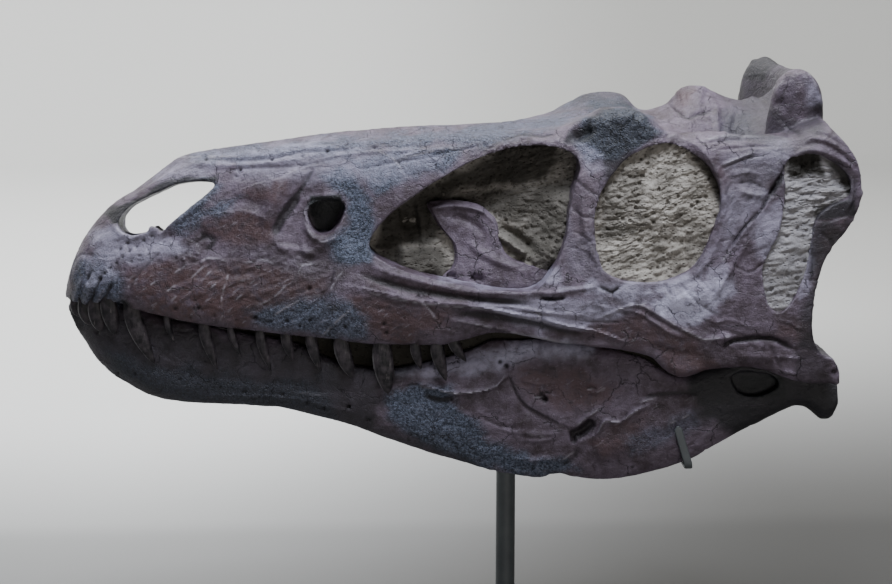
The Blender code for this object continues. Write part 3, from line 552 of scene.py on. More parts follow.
# %% Marks on the snout and the cheek
SNOUT_MARKS = (
    # swell of the bar over the nostril, and the lip round the opening
    ("line", 1.6, 4, (92, 212), (112, 192), (150, 168), (185, 158), (230, 154)),
    ("line", 1.4, 2.2, (108, 222), (128, 236), (150, 229), (166, 226), (190, 212), (214, 190)),
    ("dots", 1.6, 1.6, (143, 229), (151, 228), (158, 229), (164, 226)),
    ("line", -1.6, 4, (118, 246), (150, 243), (180, 234)),
    # pits in two chains down to the front teeth
    ("dots", -1.6, 1.3, (158, 229), (151, 236), (143, 240), (136, 247), (129, 251), (122, 257),
     (116, 263), (110, 268), (104, 273), (99, 279), (127, 243), (120, 249)),
    ("dots", -1.2, 1.1, (170, 235), (163, 243), (148, 250), (139, 256), (131, 262), (124, 270)),
    # grooves between the roots of the front teeth
    ("line", -2.2, 1.8, (91, 270), (82, 288), (75, 312)),
    ("line", -2.4, 1.8, (101, 274), (93, 292), (86, 314)),
    ("line", -2.4, 2.0, (112, 282), (104, 298), (98, 318)),
    ("line", 1.8, 2.4, (86, 276), (78, 296), (73, 312)),
    ("line", 1.8, 2.4, (97, 278), (88, 298), (82, 316)),
    ("line", 2.0, 2.6, (107, 286), (98, 304), (93, 322)),
    ("line", 2.2, 2.6, (118, 296), (109, 310), (102, 330)),
    ("line", -3.0, 3.2, (122, 300), (120, 316), (120, 330)),
    # seam up to the nostril and raised plates behind it
    ("line", -1.0, 1.3, (127, 300), (134, 280), (150, 262), (165, 248)),
    ("ledge", 0.9, 3.0, (190, 224), (212, 214), (238, 210), (252, 212), (272, 220)),
    ("line", -1.5, 4.5, (222, 205), (246, 202), (268, 206)),
    ("ledge", 0.8, 3.5, (234, 192), (256, 184), (280, 178), (302, 168)),
    ("line", -1.4, 3.0, (196, 232), (214, 240), (204, 252)),
    ("dots", 1.2, 1.5, (178, 256), (184, 259), (190, 256), (196, 259), (202, 262), (208, 259),
     (186, 264), (198, 254)),
    ("line", -1.0, 1.6, (192, 246), (200, 240), (206, 236)),
    ("line", -0.8, 2.6, (210, 266), (232, 274), (256, 270)),
    # long low furrows of the top of the snout
    ("line", -0.9, 1.4, (186, 158), (230, 160), (272, 158), (300, 152), (352, 150)),
    ("line", 0.8, 1.6, (190, 164), (232, 166), (270, 163), (306, 158)),
    ("line", -0.9, 1.2, (206, 172), (246, 168), (296, 166), (338, 158)),
    ("line", -0.7, 1.0, (300, 146), (360, 140), (410, 137)),
    ("line", 0.7, 1.3, (316, 162), (338, 156), (374, 152), (430, 150)),
    ("dots", -1.5, 1.1, (272, 160), (302, 156), (327, 151), (374, 148), (240, 170), (236, 176),
     (206, 160), (258, 150), (420, 140)),
)
CHEEK_MARKS = (
    # hollow in front of the big window, with its deep front border
    ("line", -3.2, 9, (318, 180), (300, 215), (300, 250), (330, 262)),
    ("line", -2.0, 10, (356, 180), (352, 215), (356, 250)),
    ("line", -1.3, 1.8, (314, 168), (304, 184), (294, 198)),
    ("line", -2.8, 3.4, (299, 194), (290, 206), (281, 219), (273, 236)),
    ("line", 2.0, 4.5, (302, 164), (288, 182), (274, 202), (262, 226)),
    ("ledge", 0.8, 3.0, (330, 268), (305, 262), (282, 252), (270, 238)),
    ("line", 1.5, 2.6, (276, 246), (296, 250), (318, 256)),
    ("line", 1.6, 2.4, (300, 238), (306, 252), (322, 246), (342, 236)),
    ("line", 1.4, 2.2, (303, 206), (310, 198), (326, 196), (342, 198)),
    # rim of the small window
    ("line", 1.2, 1.8, (304, 220), (310, 234), (322, 241), (336, 236), (344, 222)),
    # foramina over the tooth row, and scattered ones
    ("dots", -2.0, 1.4, (175, 309), (199, 308), (255, 318), (287, 321), (310, 320), (345, 327),
     (384, 324), (309, 289), (386, 333)),
    ("dots", -1.3, 1.0, (190, 318), (214, 316), (236, 320), (270, 322), (300, 326), (330, 330),
     (360, 333), (418, 296), (404, 318)),
    ("line", -0.9, 1.0, (251, 318), (262, 321), (272, 322)),
    ("line", -1.0, 1.2, (334, 268), (330, 284), (322, 296), (320, 306)),
    ("line", 0.9, 1.0, (337, 268), (333, 284), (326, 297)),
    # double bar under the big window
    ("line", 1.6, 2.2, (366, 262), (386, 272), (407, 278), (443, 287), (478, 293), (537, 293)),
    ("line", -2.2, 3.0, (356, 272), (380, 281), (419, 291), (478, 299), (520, 303), (536, 303)),
    ("ledge", 2.2, 3.6, (344, 284), (360, 287), (419, 299), (478, 305), (513, 312), (542, 316)),
    ("ledge", 1.8, 3.0, (542, 316), (563, 323), (596, 330), (628, 341)),
    ("line", 1.2, 1.8, (360, 289), (419, 302), (478, 307), (513, 314), (563, 325), (596, 332)),
    ("line", -1.8, 3.4, (450, 312), (480, 315), (530, 322), (560, 330), (600, 337)),
    ("line", 1.5, 1.8, (450, 318), (492, 327), (539, 336), (572, 342), (620, 347)),
    ("line", -1.0, 1.0, (541, 312), (542, 332)),
    ("line", -2.6, 1.5, (539, 298), (552, 299), (566, 298)),
    ("line", 1.3, 1.6, (532, 293), (552, 293), (574, 290), (600, 286)),
    ("line", -0.9, 0.9, (422, 300), (434, 312), (440, 320)),
    ("line", -0.8, 1.0, (560, 318), (590, 322), (620, 322)),
    ("line", 0.9, 1.0, (470, 303), (520, 308), (548, 313), (590, 316)),
)

# %% Marks round the eye, on the roof and at the back
EYE_MARKS = (
    # strut between the two big windows
    ("line", 1.8, 3.6, (590, 158), (582, 185), (584, 215), (592, 245), (604, 268)),
    ("line", -0.9, 1.2, (572, 176), (588, 190), (600, 196)),
    ("line", -0.9, 1.2, (570, 206), (582, 216), (594, 218)),
    ("line", -0.8, 1.1, (574, 232), (588, 240), (600, 256)),
    ("line", 0.8, 1.2, (576, 246), (590, 252), (600, 266)),
    ("line", -1.8, 1.3, (598, 286), (606, 290), (612, 292), (620, 287)),
    ("line", -1.0, 1.0, (612, 292), (614, 304)),
    # horn over the eye and the pocket in front of it
    ("line", 2.2, 6, (598, 132), (612, 120), (630, 118), (648, 128)),
    ("line", -5.0, 3.6, (572, 138), (582, 133), (592, 128)),
    ("line", 1.4, 1.8, (566, 142), (572, 128), (586, 120), (598, 118)),
    ("dots", 0.9, 1.3, (602, 118), (612, 114), (622, 112), (632, 116), (642, 121), (650, 128),
     (608, 126), (620, 122), (632, 127), (616, 134), (628, 138), (640, 134)),
    # torn upper border of the big window
    ("dots", 0.9, 1.3, (494, 150), (504, 145), (522, 138), (527, 137), (541, 142),
     (558, 141), (484, 155)),
    ("line", -1.3, 1.6, (498, 142), (520, 134), (540, 136), (560, 132)),
    ("line", -1.0, 1.0, (430, 157), (444, 152), (460, 149), (479, 146)),
    ("line", -0.9, 0.9, (397, 160), (402, 168), (407, 176)),
    ("line", -0.9, 0.9, (431, 160), (438, 168), (444, 174)),
    ("line", 0.8, 1.0, (398, 158), (420, 152), (440, 149)),
    ("line", -0.9, 1.0, (364, 168), (396, 162), (430, 158)),
    ("line", -0.8, 1.0, (482, 142), (488, 148), (496, 146)),
    # raised rim of the eye socket
    ("line", 1.8, 2.4, (676, 136), (693, 144), (708, 157), (718, 174), (724, 192), (724, 214)),
    ("line", 1.2, 2.4, (722, 226), (716, 246), (704, 266), (690, 278), (668, 286)),
    ("dots", 1.8, 3.0, (675, 137), (668, 132)),
    # cheekbone: broad swell with wrinkles running down its front
    ("line", 3.0, 9, (664, 300), (686, 298), (712, 290)),
    ("line", 1.6, 2.2, (712, 300), (726, 278), (738, 256), (750, 238)),
    ("line", -0.9, 0.9, (680, 284), (693, 298), (708, 310), (720, 318)),
    ("line", -0.8, 0.9, (664, 284), (672, 296)),
    ("line", -0.8, 0.9, (695, 276), (709, 289)),
    ("line", 0.9, 1.0, (600, 318), (620, 309), (640, 305), (659, 315), (680, 328), (707, 341)),
    ("line", 1.2, 1.4, (620, 308), (643, 315), (664, 329), (687, 341)),
    ("line", -0.9, 1.1, (640, 309), (662, 321), (684, 334)),
    ("line", 0.8, 0.9, (700, 316), (716, 322), (730, 320), (752, 328)),
    ("line", -0.8, 0.9, (704, 326), (724, 330), (746, 336), (764, 334)),
    ("line", -0.8, 0.9, (730, 262), (742, 270), (752, 272), (764, 262)),
    ("line", 1.8, 2.2, (708, 340), (720, 338), (732, 337)),
    ("line", 1.6, 4.0, (668, 366), (684, 371), (704, 368)),
    ("line", -1.4, 3.6, (650, 346), (676, 354), (700, 354)),
    # overlap of the bone behind the eye on the cheekbone
    ("ledge", 2.0, 4.0, (730, 249), (743, 229), (759, 213), (768, 198), (778, 182), (790, 167)),
    ("line", -1.5, 1.2, (729, 250), (743, 229), (759, 213), (768, 198), (778, 182), (790, 167)),
    ("line", -2.2, 2.4, (788, 168), (780, 180), (770, 196)),
    ("line", 1.2, 2.2, (738, 190), (752, 194), (768, 196)),
    ("line", -1.0, 1.4, (736, 184), (750, 182), (764, 188)),
    ("line", 1.1, 2.0, (732, 176), (744, 172), (760, 174)),
    ("line", -0.9, 0.9, (721, 169), (736, 162), (752, 157), (762, 156)),
    ("line", 1.0, 1.2, (722, 165), (738, 159), (752, 153)),
    ("line", -0.8, 0.9, (706, 143), (724, 140), (742, 140)),
    ("line", -0.8, 0.9, (716, 150), (736, 148), (756, 146), (776, 147)),
    ("line", 0.8, 1.0, (700, 140), (730, 137), (770, 138), (796, 140)),
)
REAR_MARKS = (
    # bump of the forehead with its crack, and the dished face behind it
    ("line", 2.2, 7, (676, 96), (690, 92), (706, 96)),
    ("line", -1.3, 1.0, (668, 104), (677, 111), (687, 114), (699, 109), (713, 107)),
    ("line", -1.2, 4, (678, 97), (688, 97)),
    ("line", -2.4, 7, (728, 118), (738, 124), (750, 128)),
    ("line", 1.2, 2.0, (716, 104), (720, 122), (726, 136)),
    ("line", 1.4, 2.4, (668, 128), (700, 133), (740, 137), (790, 138)),
    ("line", -1.6, 4.0, (776, 100), (784, 112), (792, 120)),
    # the wing of the crest: dished face, raised edge and the knobs on it
    ("line", 1.2, 3.0, (792, 75), (803, 74), (813, 84), (818, 100), (820, 116)),
    ("line", 1.0, 5.0, (797, 86), (806, 98), (806, 112)),
    ("line", -1.2, 2.0, (782, 118), (790, 128), (802, 134)),
    ("line", 1.6, 2.8, (742, 101), (750, 99), (758, 97)),
    ("dots", 1.6, 2.8, (787, 72), (752, 98)),
    ("dots", 2.0, 2.6, (864, 194), (856, 222), (641, 101), (836, 381), (834, 404)),
    ("dots", -2.2, 1.8, (759, 80), (834, 372), (830, 392)),
    # squamosal: layered wrinkles and the hooked rim over the rock
    ("line", 1.6, 2.0, (791, 163), (800, 153), (816, 150), (834, 156), (850, 166), (859, 178)),
    ("line", -0.7, 1.4, (800, 146), (818, 143), (836, 150), (852, 162)),
    ("line", 1.2, 1.6, (808, 138), (824, 140), (840, 148), (856, 162)),
    ("line", -0.9, 1.1, (812, 133), (828, 136), (846, 146)),
    ("line", 1.3, 1.6, (852, 176), (852, 196), (846, 212)),
    # torn front border of the rock strip
    ("dots", -2.2, 1.8, (783, 236), (776, 246), (774, 262), (766, 276), (768, 290), (772, 304)),
    # bar under the rock strip
    ("line", -2.6, 1.8, (723, 351), (728, 343), (743, 340), (772, 339), (794, 350)),
    ("line", 1.4, 3.0, (734, 356), (756, 356), (776, 358)),
    ("line", -1.0, 1.1, (770, 346), (776, 360), (780, 368)),
    ("line", 1.2, 1.2, (774, 356), (788, 357), (800, 359)),
    ("line", 1.2, 1.2, (784, 371), (796, 374)),
    ("line", -0.9, 1.0, (778, 320), (792, 326), (804, 334)),
    ("line", 1.0, 1.0, (776, 319), (790, 324), (802, 331)),
    ("line", -0.8, 1.0, (806, 240), (814, 262), (808, 290)),
    ("line", -1.0, 1.2, (820, 232), (830, 240), (834, 250)),
)
SKULL_MARKS = SNOUT_MARKS + CHEEK_MARKS + EYE_MARKS + REAR_MARKS

# thin pale veins, and short pale scratches that rise to the rear
SKULL_VEINS = (
    ((229, 269), (226, 282), (223, 291), (221, 303), (223, 312), (220, 321)),
    ((242, 263), (252, 262), (264, 260), (276, 265)),
    ((254, 306), (268, 301), (279, 293), (286, 285), (295, 282)),
    ((284, 261), (295, 273), (303, 265), (313, 264), (325, 267)),
    ((331, 291), (334, 283), (343, 271)), ((268, 320), (282, 310), (303, 299), (323, 295)),
    ((127, 287), (136, 284)), ((132, 281), (138, 279)), ((150, 285), (156, 281)),
    ((166, 292), (175, 285)), ((170, 302), (178, 295)), ((174, 273), (186, 265)),
    ((190, 279), (203, 267)), ((201, 281), (211, 271)), ((211, 288), (216, 283)),
    ((236, 300), (242, 294)), ((240, 281), (250, 279)), ((196, 262), (212, 258), (229, 262)),
    ((186, 238), (196, 244), (200, 250)), ((322, 336), (338, 320), (352, 308)),
    ((360, 291), (419, 303), (478, 308), (513, 315), (563, 326), (596, 333)),
    ((450, 318), (492, 327), (539, 336), (572, 342)), ((536, 309), (541, 320)),
    ((422, 302), (430, 310), (436, 320)), ((600, 318), (620, 309), (640, 305), (659, 315)),
    ((659, 315), (680, 328), (707, 341)), ((640, 306), (650, 300)), ((730, 249), (722, 262)),
    ((664, 292), (672, 300)), ((676, 288), (684, 299)), ((700, 340), (732, 336)),
    ((813, 222), (828, 223), (840, 219), (849, 217)), ((738, 190), (752, 194), (768, 196)),
    ((722, 165), (738, 159), (752, 153)), ((832, 246), (838, 240)), ((824, 262), (832, 252)),
    ((818, 276), (828, 264)), ((812, 290), (822, 278)), ((786, 76), (776, 84), (764, 94)),
    ((806, 72), (812, 80), (817, 92)), ((700, 141), (730, 138), (762, 139)),
    ((370, 148), (392, 158), (402, 170)), ((396, 160), (430, 152), (470, 146)),
    ((166, 160), (200, 158), (240, 157)), ((304, 222), (312, 236), (322, 242), (334, 238)),
)
JAW_VEINS = (((418, 385), (444, 391), (461, 393), (492, 388), (505, 377)),
             ((598, 432), (605, 421), (620, 421), (634, 412), (648, 405)),
             ((576, 426), (588, 417), (600, 408)), ((296, 393), (330, 396)),
             ((586, 390), (597, 389)), ((534, 397), (543, 398)), ((640, 402), (656, 398)),
             ((520, 434), (546, 436)), ((560, 462), (574, 452)), ((668, 424), (690, 414)))

# %% Marks on the lower jaw
JAW_MARKS = (
    # tooth plate: long shelf under the teeth, scratches and nerve holes
    ("line", 1.5, 3.2, (356, 374), (395, 374), (430, 370), (470, 364), (492, 358)),
    ("line", -1.4, 3.0, (370, 384), (410, 382), (450, 378)),
    ("ledge", 2.0, 3.0, (506, 377), (492, 389), (461, 393), (444, 391), (418, 384), (396, 386)),
    ("line", 1.6, 1.8, (418, 384), (444, 391), (461, 393), (492, 388), (505, 377), (514, 370)),
    ("line", -1.8, 2.6, (424, 396), (440, 400), (456, 398)),
    ("dots", -1.6, 1.2, (348, 407), (368, 420), (282, 395), (266, 398), (307, 403), (324, 408),
     (349, 407), (118, 373), (135, 373), (97, 332), (180, 380), (220, 388), (244, 392)),
    ("line", -0.6, 1.0, (290, 392), (306, 391), (328, 394)),
    ("line", 0.7, 1.2, (200, 396), (250, 396), (300, 400), (350, 412)),
    ("line", -1.0, 4.0, (140, 366), (200, 376), (280, 384), (350, 392)),
    ("line", 1.2, 7.0, (110, 350), (150, 384), (200, 392)),
    # overlap of the tooth plate on the bones behind, and its broken end
    ("ledge", 1.8, 4.5, (574, 429), (560, 424), (546, 417), (524, 404), (513, 385), (507, 366)),
    ("line", -1.1, 2.4, (507, 364), (513, 384), (524, 404), (546, 417), (568, 428)),
    ("dots", -2.4, 1.6, (506, 366), (500, 362)),
    ("line", 1.2, 1.6, (498, 428), (520, 432), (546, 434), (566, 432)),
    ("line", -1.0, 1.4, (478, 416), (500, 426), (524, 432)),
    ("line", 1.0, 1.4, (520, 440), (545, 440), (560, 436)),
    ("line", -4.5, 3.4, (574, 436), (584, 430), (594, 421)),
    ("line", -3.0, 2.0, (572, 430), (574, 444)),
    ("line", 1.4, 1.3, (576, 425), (588, 416), (600, 408)),
    ("ledge", 2.4, 5.0, (582, 440), (597, 432), (604, 419), (620, 420), (633, 410), (648, 404)),
    ("line", 1.3, 1.3, (598, 431), (605, 420), (620, 421), (634, 411), (648, 405)),
    ("line", 2.4, 9.0, (592, 452), (612, 448), (636, 440)),
    ("line", -1.2, 3.0, (560, 466), (574, 458), (578, 446)),
    ("line", 1.2, 1.6, (512, 458), (530, 460), (556, 458)),
    # bulge of the rear of the jaw under the cheek
    ("line", 2.6, 8.0, (512, 352), (548, 352), (590, 358), (630, 362)),
    ("line", -1.6, 9.0, (560, 392), (600, 398), (640, 386)),
    ("dots", -3.4, 1.7, (545, 400), (543, 398)),
    ("line", -1.0, 1.2, (534, 396), (541, 399)),
    ("line", -1.2, 1.0, (586, 389), (592, 388), (597, 390)),
    ("line", 1.0, 1.2, (590, 393), (600, 391)),
    ("line", -0.8, 1.0, (518, 372), (536, 370), (552, 376)),
    ("line", 0.8, 1.2, (520, 380), (540, 384), (560, 382)),
    ("line", 1.6, 5.0, (650, 430), (672, 420), (696, 408)),
    ("line", -1.4, 2.6, (640, 398), (664, 394), (700, 392)),
    ("line", 0.9, 1.2, (640, 402), (648, 400), (656, 398)),
)


# %% Points, normals and smooth steps
def points_of(mesh):
    points = np.empty(len(mesh.vertices) * 3, np.float32)
    mesh.vertices.foreach_get("co", points)
    return points.reshape(-1, 3).astype(float) / MM


def move_points(mesh, points):
    """Give the mesh's points new places, in millimetres."""
    mesh.vertices.foreach_set("co", (points * MM).astype(np.float32).ravel())


def normals_of(mesh):
    normals = np.empty(len(mesh.vertices) * 3, np.float32)
    mesh.vertex_normals.foreach_get("vector", normals)
    return normals.reshape(-1, 3).astype(float)


def ramp(value, low, high):
    """Smooth step from 0 at low to 1 at high."""
    t = np.clip((value - low) / (high - low), 0, 1)
    return t * t * (3 - 2 * t)


def to_left(points):
    """Factors that mirror what belongs to points of the right side onto the left."""
    ones = np.ones(len(points))
    return np.stack([ones, -np.sign(points[:, 1] + 1e-9), ones], axis=1)


def left_side(points):
    """Mirror points of the right side onto the left, where the marks are given."""
    return points * to_left(points)


def relief(points, normals, marks, outer):
    """Height that the marks give to each point, less where it faces away or lies deep."""
    turned = normals * to_left(points)
    place = in_frame(left_side(points))
    rise = draw_marks(place, marks)
    facing = ramp(-(turned @ SIGHT), 0.02, 0.35)
    shallow = 1 - ramp(outer(points[:, 0]) - np.abs(points[:, 1]), 28, 45)
    upper = np.maximum(ramp(turned[:, 2], 0.3, 0.7), ramp(points[:, 2], 428, 438))
    return rise * facing * np.maximum(shallow, upper)


def inside(place, corners):
    """Signed distance to an outline in the picture plane, positive inside it."""
    corners = np.asarray(corners, float)
    closed = np.vstack([corners, corners[:1]])
    near, far, _, _ = along(place, closed, 40)
    spot = place[near]
    crossings = np.zeros(len(near), int)
    for (x0, y0), (x1, y1) in zip(closed, closed[1:]):
        between = (spot[:, 1] > y0) != (spot[:, 1] > y1)
        at = x0 + (spot[:, 1] - y0) * (x1 - x0) / (y1 - y0 if y1 != y0 else 1e-9)
        crossings += between & (spot[:, 0] < at)
    reach = np.full(len(place), -40.0)
    reach[near] = np.where(crossings % 2 == 1, far, -far)
    return reach


def patch_mask(points, place, patches, seed):
    """Strongest of several patches; the softer an edge is, the more it wanders."""
    wander = layered(points, 12, 3, seed=seed, keep=0.6)
    mask = np.zeros(len(points))
    for strength, soft, *corners in patches:
        depth = inside(place, corners) + 1.5 * soft * wander
        mask = np.maximum(mask, strength * ramp(depth, -soft, soft))
    return mask


# %% Patches of colour and texture, as outlines on the picture plane
TOOTH_PLATE_FIELD = ((384, 394), (412, 385), (452, 386), (456, 402), (476, 424), (506, 450),
                     (536, 460), (568, 460), (580, 470), (536, 478), (470, 464), (430, 446),
                     (384, 420))
SNOUT_TIP_FIELD = ((76, 262), (104, 256), (124, 280), (122, 316), (84, 322), (70, 300))
BLUE_PATCHES = (
    # strength, softness, corners: behind the nostril, top of the snout, bar before the
    # big window, horn, gum line, front of the jaw and the rough field on the tooth plate
    (0.9, 5, (200, 176), (222, 184), (214, 202), (196, 216), (166, 226), (176, 212), (196, 196)),
    (0.8, 8, (190, 150), (330, 138), (450, 128), (540, 116), (600, 96), (600, 112), (480, 146),
     (360, 152), (240, 166), (190, 162)),
    (1.0, 6, (322, 176), (346, 166), (372, 196), (376, 224), (372, 262), (352, 268), (336, 262),
     (330, 244), (346, 224), (344, 200)),
    (0.9, 6, (352, 160), (420, 148), (470, 142), (448, 166), (396, 186), (376, 200)),
    (1.0, 5, (576, 146), (584, 120), (602, 108), (636, 108), (662, 132), (640, 144), (612, 160),
     (588, 160)),
    (0.9, 7, (248, 310), (300, 300), (350, 304), (372, 324), (366, 342), (300, 332), (256, 326)),
    (0.8, 8, *SNOUT_TIP_FIELD),
    (0.8, 10, (100, 344), (170, 366), (260, 376), (330, 382), (330, 420), (200, 402), (120, 384)),
    (1.0, 6, *TOOTH_PLATE_FIELD),
    (0.5, 6, (626, 434), (660, 424), (690, 412), (700, 424), (660, 446), (630, 456)),
    (0.3, 7, (716, 110), (752, 108), (758, 136), (724, 138)),
    (0.8, 6, (168, 224), (200, 208), (226, 200), (240, 196), (226, 212), (200, 222), (180, 232)),
)
RED_PATCHES = (
    (1.0, 8, (130, 272), (170, 262), (200, 262), (240, 262), (280, 268), (320, 290), (262, 320),
     (230, 324), (170, 316), (136, 304)),
    (0.9, 6, (200, 222), (240, 210), (274, 222), (268, 244), (220, 246)),
    (0.8, 6, (240, 190), (292, 176), (282, 204), (254, 204)),
    (0.9, 7, (284, 276), (330, 272), (322, 300), (284, 300)),
    (0.9, 7, (352, 298), (450, 308), (450, 330), (400, 344), (356, 330)),
    (0.7, 5, (366, 274), (480, 298), (540, 302), (480, 304), (366, 284)),
    (0.8, 7, (640, 316), (700, 344), (716, 366), (676, 376), (656, 352), (560, 334), (600, 322)),
    (0.8, 7, (520, 366), (580, 372), (620, 392), (590, 414), (540, 404), (518, 388)),
    (0.7, 7, (590, 440), (650, 410), (640, 448), (600, 462)),
    (0.7, 6, (724, 170), (768, 160), (772, 188), (740, 200), (726, 190)),
    (0.7, 5, (674, 90), (694, 90), (694, 104), (676, 104)),
    (0.6, 6, (566, 164), (602, 160), (600, 232), (572, 240)),
    (0.7, 5, (826, 226), (846, 220), (836, 250), (824, 282), (816, 300), (812, 270)),
    (0.6, 6, (774, 320), (806, 324), (806, 338), (778, 336)),
)
# painted highlights where the bone lies high and smooth, painted shade where it lies under a rim
PAINTED_HIGHLIGHT_PATCHES = (
    (1.0, 6, (640, 302), (656, 296), (690, 290), (712, 298), (716, 312), (700, 324), (680, 324),
     (656, 314)),
    (0.7, 8, (560, 288), (640, 284), (690, 276), (722, 268), (730, 290), (716, 300), (640, 300)),
    (0.4, 10, (150, 178), (176, 162), (300, 144), (330, 142), (330, 152), (220, 168),
     (160, 190)),
    (0.5, 6, (762, 214), (780, 200), (786, 232), (772, 262), (756, 256), (752, 236)),
    (0.32, 10, (722, 196), (734, 150), (790, 140), (780, 168), (770, 196), (744, 228), (722, 250),
     (700, 280), (690, 274), (716, 240)),
    (0.5, 6, (462, 300), (540, 298), (606, 298), (620, 314), (590, 326), (540, 330)),
    (0.45, 5, (84, 256), (112, 254), (118, 282), (86, 284)),
    (0.42, 6, (570, 138), (586, 142), (602, 152), (604, 166), (592, 176), (580, 160)),
    (0.55, 7, (88, 232), (124, 226), (170, 236), (190, 252), (150, 262), (100, 262)),
    (0.35, 8, (225, 152), (330, 150), (410, 148), (440, 160), (380, 182), (300, 180),
     (235, 178)),
    (0.55, 5, (428, 204), (478, 206), (500, 240), (560, 270), (560, 284), (500, 290),
     (440, 280)),
    (0.50, 6, (392, 362), (440, 358), (520, 342), (560, 350), (520, 364), (470, 376), (400, 376)),
    (0.80, 8, (470, 358), (520, 342), (562, 340), (590, 350), (570, 362), (540, 358), (500, 368)),
    (0.5, 4, (803, 206), (814, 208), (813, 240), (811, 290), (800, 300), (801, 250)),
    (0.12, 6, (566, 160), (606, 160), (606, 280), (566, 280)),
    (0.45, 5, (805, 80), (818, 84), (823, 104), (808, 106)),
)
# painted shade under the bar over the nostril, in pockets and holes, under rims and on the crest;
# the horn is painted darker too
PAINTED_SHADE_PATCHES = (
    (0.9, 2, (104, 213), (112, 206), (124, 204), (134, 199), (150, 189), (165, 181.5), (185, 176),
     (217, 176), (217, 184), (199, 183), (176, 186), (166, 189), (142, 202), (130, 209),
     (123, 215), (122, 226), (112, 224)),
    (0.8, 4, (113, 302), (130, 302), (130, 335), (113, 335)),
    (0.66, 4, (572, 132), (586, 120), (604, 108), (636, 108), (662, 134), (640, 148), (618, 172),
     (608, 178), (602, 152)),
    (0.85, 3, (563, 143), (572, 129), (590, 121), (598, 130), (588, 142)),
    (0.7, 5, (812, 224), (848, 220), (838, 260), (826, 290), (818, 330), (832, 360), (800, 346),
     (800, 320), (808, 290), (806, 260)),
    (0.4, 5, (792, 350), (832, 350), (832, 410), (800, 404)),
    (1.0, 2, (309, 195), (341, 195), (344, 206), (338, 222), (330, 230), (318, 230), (309, 214)),
    (0.6, 6, (774, 116), (800, 118), (812, 102), (826, 104), (826, 132), (800, 137), (780, 130)),
    (0.6, 8, (726, 106), (764, 102), (790, 110), (796, 136), (760, 140), (730, 136)),
    (0.3, 5, (774, 80), (796, 76), (802, 96), (800, 118), (774, 116)),
    (0.30, 10, (740, 140), (812, 134), (818, 160), (780, 200), (756, 210), (740, 180)),
    (0.22, 10, (230, 250), (340, 250), (345, 310), (250, 312)),
    (0.5, 3, (816, 160), (838, 160), (858, 178), (858, 206), (848, 206), (846, 184)),
    (0.8, 2, (809, 204), (856, 199), (856, 216), (836, 219), (812, 220)),
)
# painted shade on the lower jaw: its front under the teeth, its lower edge, its rear under the
# cheek and the hole there
JAW_PAINTED_SHADE_PATCHES = (
    (0.72, 10, (60, 300), (300, 345), (410, 356), (410, 374), (380, 385), (380, 436), (240, 420),
     (60, 400)),
    (0.6, 7, (286, 404), (340, 412), (400, 430), (470, 456), (480, 470), (400, 450), (330, 428),
     (286, 414)),
    (0.9, 8, (690, 350), (860, 350), (860, 440), (744, 440), (704, 424), (690, 390)),
    (1.0, 3, (738, 374), (786, 372), (788, 400), (740, 400)),
)
# rough fields, and combed fields with the way their fibres run in degrees
RUGGED_PATCHES = (
    (1.0, 5, (576, 146), (586, 122), (612, 108), (640, 112), (668, 134), (640, 142), (610, 158),
     (588, 162)),
    (0.8, 6, *TOOTH_PLATE_FIELD),
    (0.7, 8, *SNOUT_TIP_FIELD),
    (0.45, 10, (120, 244), (220, 214), (300, 204), (304, 262), (336, 300), (280, 300), (140, 300)),
    (0.5, 8, (190, 190), (300, 172), (296, 214), (214, 214)),
)
COMBED_PATCHES = (
    (-30, (1.0, 10, (170, 258), (250, 252), (334, 262), (334, 334), (250, 330), (170, 308))),
    (30, (1.0, 10, (600, 306), (646, 300), (724, 330), (770, 330), (770, 356), (700, 352),
          (640, 338))),
    (8, (0.8, 12, (340, 284), (480, 298), (620, 318), (620, 350), (480, 340), (340, 330))),
    (-62, (0.9, 8, (724, 168), (780, 160), (792, 172), (750, 236), (728, 260), (716, 220))),
    (80, (0.8, 6, (566, 160), (604, 156), (612, 280), (576, 270))),
    (-8, (0.6, 12, (180, 150), (540, 116), (540, 142), (330, 176), (180, 172))),
)


# %% Sharpness of the surface, which tells ridges with wear and a painted highlight from hollows with painted shade
# blue and red are stains; pale is a painted highlight; dark is painted shade; worn is wear with a
# painted highlight on ridges; deep is painted shade in hollows and grooves; vein marks pale veins;
# known marks points from before a cut
MASKS = ("blue", "red", "pale", "dark", "worn", "deep", "vein", "known")


def ends_of(mesh):
    """The two points of every edge."""
    ends = np.empty(len(mesh.edges) * 2, np.int32)
    mesh.edges.foreach_get("vertices", ends)
    return ends.reshape(-1, 2).T


def average(ends, values, weights):
    """Weighted mean of the values at the far ends of each point's edges."""
    a, b = ends
    count = len(values)
    total = np.bincount(a, (values * weights)[b], count) + np.bincount(b, (values * weights)[a],
                                                                       count)
    share = np.bincount(a, weights[b], count) + np.bincount(b, weights[a], count)
    return total / np.maximum(share, 1e-9)


def bend(mesh):
    """Mean over a point's edges of -n.e/|e|^2, once averaged: above 0 on ridges."""
    points, normals, ends = points_of(mesh), normals_of(mesh), ends_of(mesh)
    a, b = ends
    step = points[b] - points[a]
    far = np.maximum(np.sum(step**2, axis=1), 1e-6)
    count = len(points)
    total = (np.bincount(a, -np.sum(normals[a] * step, axis=1) / far, count)
             + np.bincount(b, np.sum(normals[b] * step, axis=1) / far, count))
    turn = total / np.maximum(np.bincount(ends.ravel(), minlength=count), 1)
    return 0.4 * turn + 0.6 * average(ends, turn, np.ones(count))


def write_mask(mesh, key, values):
    attribute = mesh.attributes.get(key) or mesh.attributes.new(key, "FLOAT", "POINT")
    attribute.data.foreach_set("value", np.asarray(values, np.float32))


def read_mask(mesh, key):
    values = np.empty(len(mesh.vertices), np.float32)
    mesh.attributes[key].data.foreach_get("value", values)
    return values.astype(float)


